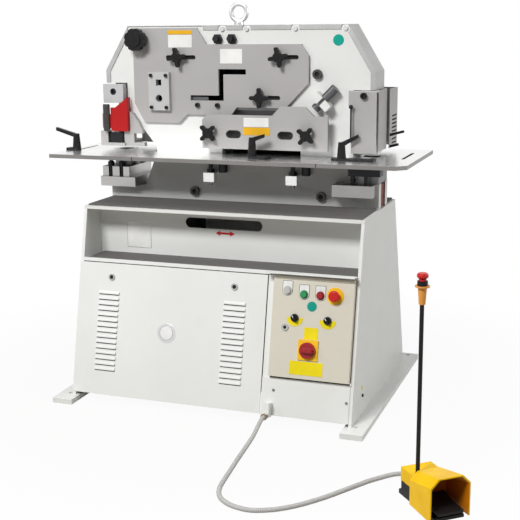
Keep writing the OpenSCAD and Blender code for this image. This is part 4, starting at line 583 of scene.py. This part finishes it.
def dress_hood():
    """Paints shade into the hood's inside: a deeper tone on the faces that look towards its axis, and on
    its back wall.
    """
    node = nodes["footswitch_hood"]
    index = finish_index(node.data, HOOD_SHADE)
    turn = Matrix.Rotation(-SWITCH_TURN, 3, "Z")
    for face in node.data.polygons:
        place = turn @ (node.matrix_world @ face.center - SWITCH_PLACE)
        normal = turn @ (node.matrix_world.to_3x3() @ face.normal)
        inward = Vector((0, -place.y, HOOD_AXIS - place.z))
        looks_in = normal.dot(inward) > INWARD_SHARE * inward.length
        back_wall = normal.x > AHEAD_SHARE and abs(place.x) < HOOD_BACK
        if place.z < HOOD_TOP and (looks_in or back_wall):
            face.material_index = index


# Rounded edges that the solids leave sharp: nodes, width of the rounding in millimetres
SOFT_NODES = {
    "star_knob_1 star_knob_2 star_knob_3 star_knob_4 star_knob_5 lobed_knob": 2.4,
    "punch_clamp_lever feed_clamp_lever notch_clamp_lever foot_treadle": 1.8,
    "footswitch_hood selector_left selector_right main_switch": 1.5,
    "start_button stop_button panel_estop foot_estop": 1.0,
}
ROUNDING_STEPS = 2
ROUNDING_ANGLE = math.radians(40)


def soften_edges():
    for names, width in SOFT_NODES.items():
        for name in names.split():
            bevel = nodes[name].modifiers.new("rounding", "BEVEL")
            bevel.width = width * MM
            bevel.segments = ROUNDING_STEPS
            bevel.limit_method = "ANGLE"
            bevel.angle_limit = ROUNDING_ANGLE


SHARP_ANGLE = math.radians(35)


def new_piece(name, bm, finish, body):
    """Makes an object of a finished bmesh, rides it on a body and smooths its round faces."""
    mesh = bpy.data.meshes.new(name)
    bm.normal_update()
    bm.to_mesh(mesh)
    bm.free()
    piece = bpy.data.objects.new(name, mesh)
    bpy.context.collection.objects.link(piece)
    mesh.materials.append(finish)
    mesh.polygons.foreach_set("use_smooth", [True] * len(mesh.polygons))
    mesh.set_sharp_from_angle(angle=SHARP_ANGLE)
    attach(piece, body)
    return piece


# Conduit from the gland to the foot switch: its route, as the solid has it
SWITCH_BACK = 94 * MM
CONDUIT_SIDE = 10 * MM
CONDUIT_ENTRY = 25 * MM
CONDUIT_D = 16 * MM
RIB_PITCH = 6 * MM
RIB_DEPTH = 1.4 * MM
RIB_FULLNESS = 0.6
ROUTE_STEP = 1.5 * MM
ENTRY_STEPS = (44, 22, 0)


def behind_switch(distance):
    local = Vector((-SWITCH_BACK - distance, CONDUIT_SIDE, CONDUIT_ENTRY))
    return SWITCH_PLACE + Matrix.Rotation(SWITCH_TURN, 3, "Z") @ local


CONDUIT_POINTS = [Vector(p) * MM for p in (
    (247, -500, 40), (247, -524, 40), (248, -562, 30), (250, -615, 16), (253, -680, 9), (260, -755, 9),
    (267, -831, 9), (275, -905, 9), (282, -973, 9), (290, -1030, 9), (307, -1078, 9), (335, -1113, 9),
    (378, -1138, 9), (434, -1146, 9), (489, -1126, 9), (530, -1097, 9), (566, -1062, 9), (600, -1020, 9),
    (634, -972, 9), (677, -903, 9), (718, -838, 9), (749, -799, 9), (779, -773, 12), (808, -767, 17),
    (834, -781, 22),
)] + [behind_switch(d * MM) for d in ENTRY_STEPS]


def smooth_route(points, step):
    """Points about a step apart on the smooth curve through the given ones."""
    route = []
    last = len(points) - 1
    for i in range(last):
        a, b = points[max(i - 1, 0)], points[i]
        c, d = points[i + 1], points[min(i + 2, last)]
        count = max(2, round((c - b).length / step))
        for j in range(count):
            u = j / count
            route.append((2 * b + (c - a) * u + (2 * a - 5 * b + 4 * c - d) * u * u
                          + (3 * b - a - 3 * c + d) * u ** 3) / 2)
    route.append(points[last])
    return route


def ribbed_tube(points, radius, pitch, depth, sides=16):
    """A tube along a route whose radius swells at every rib, with both ends closed."""
    bm = bmesh.new()
    rings = []
    along = 0.0
    for i, point in enumerate(points):
        ahead = (points[min(i + 1, len(points) - 1)] - points[max(i - 1, 0)]).normalized()
        side = Vector((0, 0, 1)).cross(ahead).normalized()
        up = ahead.cross(side)
        if i:
            along += (point - points[i - 1]).length
        swell = (1 + math.cos(2 * math.pi * along / pitch)) / 2
        r = radius - depth * (1 - swell ** RIB_FULLNESS)
        rings.append([bm.verts.new(point + r * (math.cos(t) * side + math.sin(t) * up))
                      for t in (2 * math.pi * k / sides for k in range(sides))])
    for first, second in zip(rings, rings[1:]):
        for k in range(sides):
            bm.faces.new((first[k], first[k - 1], second[k - 1], second[k]))
    bm.faces.new(rings[0])
    bm.faces.new(rings[-1][::-1])
    bmesh.ops.recalc_face_normals(bm, faces=bm.faces)
    return bm


def make_conduit():
    route = smooth_route(CONDUIT_POINTS, ROUTE_STEP)
    bm = ribbed_tube(route, CONDUIT_D / 2, RIB_PITCH, RIB_DEPTH)
    piece = new_piece("conduit_hose", bm, CONDUIT, ROOT)
    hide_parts("conduit")


# Outlines of plates and linings, in millimetres on a face, counter-clockwise
def oblong(x0, z0, x1, z1, corner=2.0, steps=4):
    """Rectangle with round corners."""
    outline = []
    middles = ((x1 - corner, z0 + corner, -90), (x1 - corner, z1 - corner, 0),
               (x0 + corner, z1 - corner, 90), (x0 + corner, z0 + corner, 180))
    for x, z, start in middles:
        outline += arc(x, z, corner, start, start + 90, steps)
    return outline


def arc(x, z, radius, start, end, steps):
    angles = [math.radians(start + (end - start) * i / steps) for i in range(steps + 1)]
    return [(x + radius * math.cos(a), z + radius * math.sin(a)) for a in angles]


def disc(x, z, radius, steps=48):
    return arc(x, z, radius, 0, 360, steps)[:-1]


def crescent(x, z, inner, outer):
    """Lower half of a ring."""
    return arc(x, z, outer, 180, 360, steps=24) + arc(x, z, inner, 360, 180, steps=16)


def hanger(x, z, half, rise, hole, gap=0.1):
    """Plate with a round lower end round a button's hole, slit from the hole to its top."""
    slit = math.degrees(math.asin(gap / hole))
    return (arc(x, z, half, 180, 360, steps=20) + [(x + half, z + rise), (x + gap, z + rise)]
            + arc(x, z, hole, 90 - slit, -270 + slit, steps=32)
            + [(x - gap, z + rise), (x - half, z + rise)])


def double_arrow(x, z, half, head, head_half, shaft_half):
    inner = half - head
    return [(x - half, z), (x - inner, z - head_half), (x - inner, z - shaft_half),
            (x + inner, z - shaft_half), (x + inner, z - head_half), (x + half, z),
            (x + inner, z + head_half), (x + inner, z + shaft_half),
            (x - inner, z + shaft_half), (x - inner, z + head_half)]


def turned(outline, x, z, degrees):
    """The outline moved to a place and turned about it."""
    c, s = math.cos(math.radians(degrees)), math.sin(math.radians(degrees))
    return [(x + u * c - v * s, z + u * s + v * c) for u, v in outline]


def grown(box, rim):
    """A box of left, low, right and high with a rim added all round."""
    left, low, right, high = box
    return left - rim, low - rim, right + rim, high + rim


def inset(outline, depth, sharpest=0.4):
    """The outline moved inwards, less at corners sharper than the given measure."""
    moved = []
    for i, (x, z) in enumerate(outline):
        normals = []
        for (ax, az), (bx, bz) in ((outline[i - 1], (x, z)), ((x, z), outline[(i + 1) % len(outline)])):
            length = math.hypot(bx - ax, bz - az) or 1.0
            normals.append(((az - bz) / length, (bx - ax) / length))
        (nx, nz), (mx, mz) = normals
        share = depth / max(sharpest, 1 + nx * mx + nz * mz)
        moved.append((x + share * (nx + mx), z + share * (nz + mz)))
    return moved


# Faces that carry plates: each turns a place across, up and out of a face into one in metres
def front_at(y):
    """Places on an upright face that looks to the front."""
    return lambda u, v, w: Vector((u, y - w, v)) * MM


def right_at(x):
    """Places on an upright face that looks to the right."""
    return lambda u, v, w: Vector((x + w, u, v)) * MM


def top_at(z):
    """Places on a level face."""
    return lambda u, v, w: Vector((u, v, z + w)) * MM


def slope_at(out):
    """Places on the sloping front."""
    s, c = math.sin(FRONT_TILT), math.cos(FRONT_TILT)
    return lambda u, v, w: (FRONT_FOOT + Vector((u, v * s - (out + w) * c, v * c + (out + w) * s))) * MM


# Thicknesses of the thinnest plates and of common ones, and the eased edge of the thinnest
FILM_T = 0.2
FILM_EASE = 0.05
PLATE_T = 0.8


def plates(name, outlines, thickness, place, finish, body=ROOT, ease=0.3):
    """A piece of thin plates on a face, with eased front edges."""
    bm = bmesh.new()
    for outline in outlines:
        rings = [[bm.verts.new(place(u, v, w)) for u, v in points] for points, w in (
            (outline, 0.0), (outline, thickness - ease), (inset(outline, ease), thickness))]
        for low, high in zip(rings, rings[1:]):
            for i in range(len(outline)):
                bm.faces.new((low[i - 1], low[i], high[i], high[i - 1]))
        bm.faces.new(rings[0][::-1])
        bm.faces.new(rings[-1])
    bmesh.ops.recalc_face_normals(bm, faces=bm.faces)
    return new_piece(name, bm, finish, body)


def plate(name, outline, thickness, place, finish, body=ROOT, ease=0.3):
    return plates(name, [outline], thickness, place, finish, body, ease)


def films(name, outlines, place, finish, body=ROOT):
    return plates(name, outlines, FILM_T, place, finish, body, FILM_EASE)


# Front door: its skin, and its locks, louvres and badge as places across and up the front
DOOR_SKIN = 3.3
LOCKS = ((-420.5, 467.9), (85.5, 467.9))
LOCK_FRONT = 7.3
LOCK_CORE_R = 7.5
LOUVRE_COLUMNS = (-427.5, 90.5)
LOUVRE_FOOT = 108.0
LOUVRE_PITCH = 20.98
LOUVRE_COUNT = 15
LOUVRE_HALF = 42.5
# Painted shadow under a louvre, a dark strip: how far below its foot it starts and ends, and its corners
SHADOW_LOW = 4.0
SHADOW_HIGH = 0.3
SHADOW_CORNER = 0.6
BADGE = (-177, 273)
# Layers of the badge: name, radius, thickness, place out of the front, finish, eased edge
BADGE_LAYERS = (
    ("badge_rim", 37, 1.6, 3.35, STEEL, 0.6),
    ("badge_ring", 28, 0.5, 4.97, EDGE_STEEL, 0.2),
    ("badge_face", 26, 0.8, 5.0, WHITE_PLATE, 0.4),
)


def make_door_details():
    """Lock cores, strips of painted shadow under the louvres, and the blank badge of the front door."""
    cores = [disc(x, up, LOCK_CORE_R, 24) for x, up in LOCKS]
    plates("lock_cores", cores, PLATE_T, slope_at(LOCK_FRONT + LIFT), BLACK, "front_door")
    # Dark strips on the door under each louvre: painted shadow of its lip
    shadow_strips = [oblong(x - LOUVRE_HALF, up - SHADOW_LOW, x + LOUVRE_HALF, up - SHADOW_HIGH, SHADOW_CORNER)
            for x in LOUVRE_COLUMNS
            for up in (LOUVRE_FOOT + i * LOUVRE_PITCH for i in range(LOUVRE_COUNT))]
    films("louvre_shadow_strips", shadow_strips, slope_at(DOOR_SKIN + LIFT), RUBBER_AND_SHADE, "front_door")
    for name, radius, thickness, out, finish, ease in BADGE_LAYERS:
        plate(name, disc(*BADGE, radius), thickness, slope_at(out), finish, "front_door", ease)


# Control door: legends round its buttons, with dark rims of painted shadow round their edges
LEGENDS = (("lamp", *LAMP), ("start", *START), ("stop", *STOP))
LEGEND_HALF = 18
LEGEND_RISE = 34
LEGEND_HOLE = 15.2
LEGEND_T = 1.2
LEGEND_SHADOW_RIM = 1.4
LEGEND_SHADOW_T = 0.6
LEGEND_SHADOW_EASE = 0.2
# Selectors, their pointers at rest and the crescents under them
SELECTORS = (("left", 331, 375.1), ("right", 454, 374.1))
SELECTOR_TURN = 35
SELECTOR_FRONT = 21.3
POINTER = (-1.6, 1.0, 1.6, 10.6, 0.8)
POINTER_T = 0.6
CRESCENT_INNER = 15.5
CRESCENT_OUTER = 31
# Round and square blanks of the control door
KEY_FRONT = 4
KEY_CORE_R = 6
TEAL_DOT = (392, 420, 18)
ROUND_BLANK_T = 1.0
UPPER_BLANK = (369, 300.5, 421, 344)
LOWER_BLANK = (321, 171, 446, 220.5)
# Strips over and under the control door: left, low, right, high and corner
BOX_HEADER = (243.5, 512.6, 544.5, 523.4, 1.0)
HEADER_BACK = 0.3
HEADER_T = 19.4
BOX_SEAL = (243.5, 150.2, 544.5, 156.6, 1.0)
SEAL_BACK = -2
SEAL_T = 4.0


def make_panel_plates():
    """Blank plates and pointers of the control door, and the strips over and under it."""
    door = slope_at(DOOR_FACE + LIFT)
    # Dark rims round the legends: painted shadow at their edges
    shadow_rims = [hanger(x, up, LEGEND_HALF + LEGEND_SHADOW_RIM, LEGEND_RISE + LEGEND_SHADOW_RIM, LEGEND_HOLE)
            for _, x, up in LEGENDS]
    plates("legend_shadow_rims", shadow_rims, LEGEND_SHADOW_T, door, OXIDE, "control_door", LEGEND_SHADOW_EASE)
    knob = slope_at(DOOR_FACE + SELECTOR_FRONT + LIFT)
    for name, x, up in SELECTORS:
        pointer = turned(oblong(*POINTER), x, up, SELECTOR_TURN)
        plate(f"pointer_{name}", pointer, POINTER_T, knob, WHITE_PLATE, f"selector_{name}")
    key = slope_at(DOOR_FACE + KEY_FRONT + LIFT)
    plate("key_core", disc(*KEY_SWITCH, KEY_CORE_R, 24), PLATE_T, key, BLACK, "control_door")
    for name, x, up in LEGENDS:
        legend = hanger(x, up, LEGEND_HALF, LEGEND_RISE, LEGEND_HOLE)
        plate(f"legend_{name}", legend, LEGEND_T, door, WHITE_PLATE, "control_door")
    for name, x, up in SELECTORS:
        half_ring = crescent(x, up, CRESCENT_INNER, CRESCENT_OUTER)
        plate(f"crescent_{name}", half_ring, ROUND_BLANK_T, door, YELLOW_PLATE, "control_door")
    plate("teal_dot", disc(*TEAL_DOT), ROUND_BLANK_T, door, TEAL_PLATE, "control_door")
    plate("upper_blank", oblong(*UPPER_BLANK), PLATE_T, door, YELLOW_PLATE, "control_door")
    plate("lower_blank", oblong(*LOWER_BLANK), PLATE_T, door, YELLOW_PLATE, "control_door")
    plate("box_header", oblong(*BOX_HEADER), HEADER_T, slope_at(HEADER_BACK), BEIGE)
    plate("box_seal", oblong(*BOX_SEAL), SEAL_T, slope_at(SEAL_BACK), RUBBER_AND_SHADE)


# Blank plates of the guards: name, left, low, right and high, face, finish, body
GUARD_BLANKS = (
    ("guard_plate_left", (-282, 1337, -182, 1385), ANGLE_FRONT, WHITE_PLATE, "angle_guard"),
    ("guard_strip_left", (-282, 1386.5, -182, 1402), ANGLE_FRONT, AMBER_PLATE, "angle_guard"),
    ("guard_plate_middle", (-67, 1277, 23, 1331.5), ANGLE_FRONT, WHITE_PLATE, "angle_guard"),
    ("flat_plate", (39, 1043, 140, 1077), FLAT_FRONT, WHITE_PLATE, "flat_guard"),
    ("flat_strip", (37, 1011.5, 145, 1041), FLAT_FRONT, AMBER_PLATE, "flat_guard"),
)
# Tray's back wall: a blank plate with a dark rim, and a double arrow under the slot
TRAY_PLATE = (-429, 565, -328, 664)
TRAY_RIM = 1.5
TRAY_RIM_T = 0.4
TRAY_RIM_EASE = 0.1
ARROW_AT = (-13, 641)
ARROW_HALF = 40
ARROW_HEAD = 20
ARROW_HEAD_HALF = 10.5
ARROW_SHAFT_HALF = 4
# Frame: a round blank, and blades that show in its openings by left, low, right, high and corner
FRAME_DOT = (396, 1363, 20.5)
BLADE_STRIP = (-1, 1102.5, 194, 1112, 0.5)
BLADE_LEG = (-197, 1133, -123, 1149.5, 0.5)
# Dark blocks at the punch and the notcher: left, front, right, back and corner, then their height
STRIPPER_BLOCK = (-547.4, -97, -482, -40, 10)
STRIPPER_BLOCK_H = 41.0
STRIPPER_BLOCK_EASE = 1.5
NOTCH_CLAMP = (452, -129.5, 573, -70, 2)
NOTCH_CLAMP_FOOT = 872
NOTCH_CLAMP_H = 27.0
NOTCH_CLAMP_EASE = 1.0
# Half-round sleeve before the left edge of the red guard
SLEEVE_X = -547
SLEEVE_R = 14.5
SLEEVE_FOOT = 1016
SLEEVE_H = 102.0
SLEEVE_EASE = 2.0
# Earth stud and its plate on the cabinet's right side
EARTH_PLATE = (-312, 112, -294, 128)
EARTH_PLATE_T = 0.6
EARTH_STUD = (-299, 90, 6, 24)
EARTH_STUD_L = 5.0
EARTH_STUD_EASE = 0.8


def make_guard_plates():
    """Blank plates of the guards, the tray and the frame, and dark pieces at the tools."""
    for name, box, face, finish, body in GUARD_BLANKS:
        plate(name, oblong(*box), PLATE_T, front_at(face - LIFT), finish, body)
    tray, frame_face = front_at(TRAY_BACK - LIFT), front_at(FRAME_FACE - LIFT)
    plate("tray_plate_edge", oblong(*grown(TRAY_PLATE, TRAY_RIM)), TRAY_RIM_T, tray, EDGE_STEEL, ROOT,
          TRAY_RIM_EASE)
    plate("tray_plate", oblong(*TRAY_PLATE), PLATE_T, tray, WHITE_PLATE)
    arrow = double_arrow(*ARROW_AT, ARROW_HALF, ARROW_HEAD, ARROW_HEAD_HALF, ARROW_SHAFT_HALF)
    plate("slide_arrow", arrow, PLATE_T, tray, RED_PLASTIC)
    plate("frame_dot", disc(*FRAME_DOT), PLATE_T, frame_face, TEAL_PLATE)
    films("blade_strip", [oblong(*BLADE_STRIP)], frame_face, DIE_STEEL)
    films("blade_leg", [oblong(*BLADE_LEG)], frame_face, BLADE)
    plate("stripper_block", oblong(*STRIPPER_BLOCK), STRIPPER_BLOCK_H, top_at(STRIPPER_FLOOR + LIFT), OXIDE,
          ROOT, STRIPPER_BLOCK_EASE)
    plate("notch_clamp_bar", oblong(*NOTCH_CLAMP), NOTCH_CLAMP_H, top_at(NOTCH_CLAMP_FOOT), OXIDE, ROOT,
          NOTCH_CLAMP_EASE)
    sleeve = arc(SLEEVE_X, SHIELD_FRONT - LIFT, SLEEVE_R, 180, 360, steps=20)
    plate("knuckle_sleeve", sleeve, SLEEVE_H, top_at(SLEEVE_FOOT), BOLT_BLACK, "punch_guard", SLEEVE_EASE)
    side = right_at(RIGHT_SIDE + LIFT)
    plate("earth_plate", oblong(*EARTH_PLATE), EARTH_PLATE_T, side, YELLOW_PLATE)
    plate("earth_stud", disc(*EARTH_STUD), EARTH_STUD_L, side, OXIDE, ROOT, EARTH_STUD_EASE)


# Rubber strips behind the rear plate's windows: name, left, right, low, high, number
CURTAINS = (("bar", -373, -269, 1088, 1252, 4), ("angle", -214, 64, 1116, 1276, 9),
            ("flat", -78, 258, 902, 1102, 11))
CURTAIN_LAP = 3
CURTAIN_BELOW = 6
CURTAIN_ABOVE = 8
CURTAIN_CORNER = 1.5
CURTAIN_T = 2.0
CURTAIN_NEAR = 72.5
CURTAIN_FAR = 74.7
# Mat on the deck behind the frame: left, front, right, back
REAR_MAT = (-548, 74, 548, 196)
MAT_T = 6.0
# Seams between the tables, seen on their front edge
SEAMS = (-364, 369)
SEAM_HALF = 1.8
SEAM_INSET = 0.6
SEAM_CORNER = 0.3
# Dark strips of painted shadow on the frame behind the angle guard's slots: middle, height, length
GUARD_SLOT_SHADOWS = ((-235, 1300, 153), (194, 1301, 126), (118, 1150, 132))
GUARD_SLOT_SHADOW_W = 22
GUARD_SLOT_SHADOW_CORNER_GAP = 0.1
# Dark sheets of painted shadow in the channels under the table slots and on the notcher's side: boxes on
# their faces and corner
TABLE_SLOT_SHADOW_LEFT = (-692, -105, -674, 63, 8.9)
TABLE_SLOT_SHADOW_RIGHT = (631, -63, 649, 143, 8.9)
SLOT_FLOOR = 914.8
TABLE_SLOT_SHADOW_T = 2.0
NOTCH_SIDE = (98, 962, 196, 1086)
NOTCH_SIDE_X = 556.2
NOTCH_SHADOW_T = 1.0


def make_linings():
    """Rubber behind the windows and on the rear deck, seams, and dark sheets of painted shadow behind the
    table slots and the notcher's side slots.
    """
    for name, left, right, low, high, count in CURTAINS:
        step = (right - left) / count
        strips = [oblong(left + i * step - CURTAIN_LAP, low - CURTAIN_BELOW,
                         left + (i + 1) * step + CURTAIN_LAP, high + CURTAIN_ABOVE, CURTAIN_CORNER)
                  for i in range(count)]
        plates(f"curtain_{name}_near", strips[0::2], CURTAIN_T, front_at(CURTAIN_NEAR), RUBBER_AND_SHADE)
        plates(f"curtain_{name}_far", strips[1::2], CURTAIN_T, front_at(CURTAIN_FAR), RUBBER_AND_SHADE)
    plate("rear_mat", oblong(*REAR_MAT), MAT_T, top_at(DECK_TOP + LIFT), MAT)
    seams = [oblong(x - SEAM_HALF, TABLE_LOW + SEAM_INSET, x + SEAM_HALF, TABLE_TOP - SEAM_INSET,
                    SEAM_CORNER) for x in SEAMS]
    films("table_seams", seams, front_at(TABLE_FRONT - LIFT), RUBBER_AND_SHADE)
    # Painted shadow: dark strips on the frame behind the angle guard's slots
    half = GUARD_SLOT_SHADOW_W / 2
    strips = [oblong(x - length / 2, z - half, x + length / 2, z + half, half - GUARD_SLOT_SHADOW_CORNER_GAP)
              for x, z, length in GUARD_SLOT_SHADOWS]
    films("guard_slot_shadows", strips, front_at(FRAME_FACE - LIFT), RUBBER_AND_SHADE)
    # Painted shadow: dark sheets in the table slots' channels and behind the notcher's side slots
    plate("table_slot_shadow_left", oblong(*TABLE_SLOT_SHADOW_LEFT), TABLE_SLOT_SHADOW_T, top_at(SLOT_FLOOR), RUBBER_AND_SHADE)
    plate("table_slot_shadow_right", oblong(*TABLE_SLOT_SHADOW_RIGHT), TABLE_SLOT_SHADOW_T, top_at(SLOT_FLOOR), RUBBER_AND_SHADE)
    plate("notch_slot_shadow", oblong(*NOTCH_SIDE), NOTCH_SHADOW_T, right_at(NOTCH_SIDE_X), RUBBER_AND_SHADE)


# Stage
WHITE = (1, 1, 1, 1)
FLOOR_SIZE = 60.0
FLOOR_CELLS = 4
FLOOR_DROP = 0.3 * MM
FLOOR_COLOUR = (0.42, 0.405, 0.38, 1)
# Share of the floor's own white: near the machine, where its shadow shows, and far from it
FLOOR_GLOW = (0.95, 1.0)
# Distances from the origin between which that share changes
FLOOR_FADE = (0.9, 1.7)


def make_floor():
    bm = bmesh.new()
    bmesh.ops.create_grid(bm, x_segments=FLOOR_CELLS, y_segments=FLOOR_CELLS, size=FLOOR_SIZE / 2)
    mesh = bpy.data.meshes.new("floor")
    bm.to_mesh(mesh)
    bm.free()
    floor = bpy.data.objects.new("floor", mesh)
    floor.location.z = -FLOOR_DROP
    bpy.context.collection.objects.link(floor)
    material = bpy.data.materials.new("pale_floor")
    material.use_nodes = True
    tree = material.node_tree
    tree.nodes.clear()
    lit = tree.nodes.new("ShaderNodeBsdfDiffuse")
    lit.inputs["Color"].default_value = FLOOR_COLOUR
    glow = tree.nodes.new("ShaderNodeEmission")
    glow.inputs["Color"].default_value = WHITE
    path = tree.nodes.new("ShaderNodeLightPath")
    seen = tree.nodes.new("ShaderNodeMath")
    seen.operation = "MAXIMUM"
    share = tree.nodes.new("ShaderNodeMath")
    share.operation = "MULTIPLY"
    place = tree.nodes.new("ShaderNodeTexCoord")
    reach = tree.nodes.new("ShaderNodeVectorMath")
    reach.operation = "LENGTH"
    fade = tree.nodes.new("ShaderNodeMapRange")
    for name, number in zip(("From Min", "From Max", "To Min", "To Max"), FLOOR_FADE + FLOOR_GLOW):
        fade.inputs[name].default_value = number
    blend = tree.nodes.new("ShaderNodeMixShader")
    out = tree.nodes.new("ShaderNodeOutputMaterial")
    link = tree.links.new
    link(path.outputs["Is Camera Ray"], seen.inputs[0])
    link(path.outputs["Is Glossy Ray"], seen.inputs[1])
    link(place.outputs["Object"], reach.inputs[0])
    link(reach.outputs["Value"], fade.inputs["Value"])
    link(seen.outputs["Value"], share.inputs[0])
    link(fade.outputs["Result"], share.inputs[1])
    link(share.outputs["Value"], blend.inputs["Fac"])
    link(lit.outputs["BSDF"], blend.inputs[1])
    link(glow.outputs["Emission"], blend.inputs[2])
    link(blend.outputs["Shader"], out.inputs["Surface"])
    mesh.materials.append(material)


WORLD_LIGHT = 0.07


def make_world():
    """White behind the object and in its reflections, and a soft grey light on it."""
    world = bpy.data.worlds.new("studio")
    bpy.context.scene.world = world
    world.use_nodes = True
    tree = world.node_tree
    tree.nodes.clear()
    path = tree.nodes.new("ShaderNodeLightPath")
    link = tree.links.new

    def light(strength):
        node = tree.nodes.new("ShaderNodeBackground")
        node.inputs["Color"].default_value = WHITE
        node.inputs["Strength"].default_value = strength
        return node.outputs["Background"]

    def choose(ray, other, chosen):
        node = tree.nodes.new("ShaderNodeMixShader")
        link(path.outputs[ray], node.inputs["Fac"])
        link(other, node.inputs[1])
        link(chosen, node.inputs[2])
        return node.outputs["Shader"]

    shown, white = light(WORLD_LIGHT), light(1.0)
    for ray in ("Is Camera Ray", "Is Glossy Ray", "Is Transmission Ray"):
        shown = choose(ray, shown, white)
    out = tree.nodes.new("ShaderNodeOutputWorld")
    link(shown, out.inputs["Surface"])


# Softboxes: name, place, aim, width, height, watts
SOFTBOXES = (
    ("key", (-1.2, -5.3, 5.3), (0.0, -0.1, 0.7), 2.2, 1.4, 405),
    ("left", (-3.2, -2.6, 2.5), (-0.4, -0.1, 0.9), 1.4, 1.4, 28),
    ("right", (4.2, 0.3, 2.4), (0.3, -0.2, 0.5), 2.4, 2.4, 72),
    ("top", (0.0, 0.3, 4.2), (0.0, 0.0, 0.6), 3.0, 2.4, 40),
)


def make_lights():
    for name, place, aim, width, height, watts in SOFTBOXES:
        data = bpy.data.lights.new(name, "AREA")
        data.shape = "RECTANGLE"
        data.size = width
        data.size_y = height
        data.energy = watts
        lamp = bpy.data.objects.new(name, data)
        bpy.context.collection.objects.link(lamp)
        lamp.location = place
        lamp.rotation_mode = "QUATERNION"
        lamp.rotation_quaternion = (Vector(aim) - Vector(place)).to_track_quat("-Z", "Y")


make_camera()
dress_nodes()
dress_faces()
dress_hood()
soften_edges()
make_conduit()
make_door_details()
make_panel_plates()
make_guard_plates()
make_linings()
make_floor()
make_world()
make_lights()
bpy.context.scene.view_settings.view_transform = "Standard"
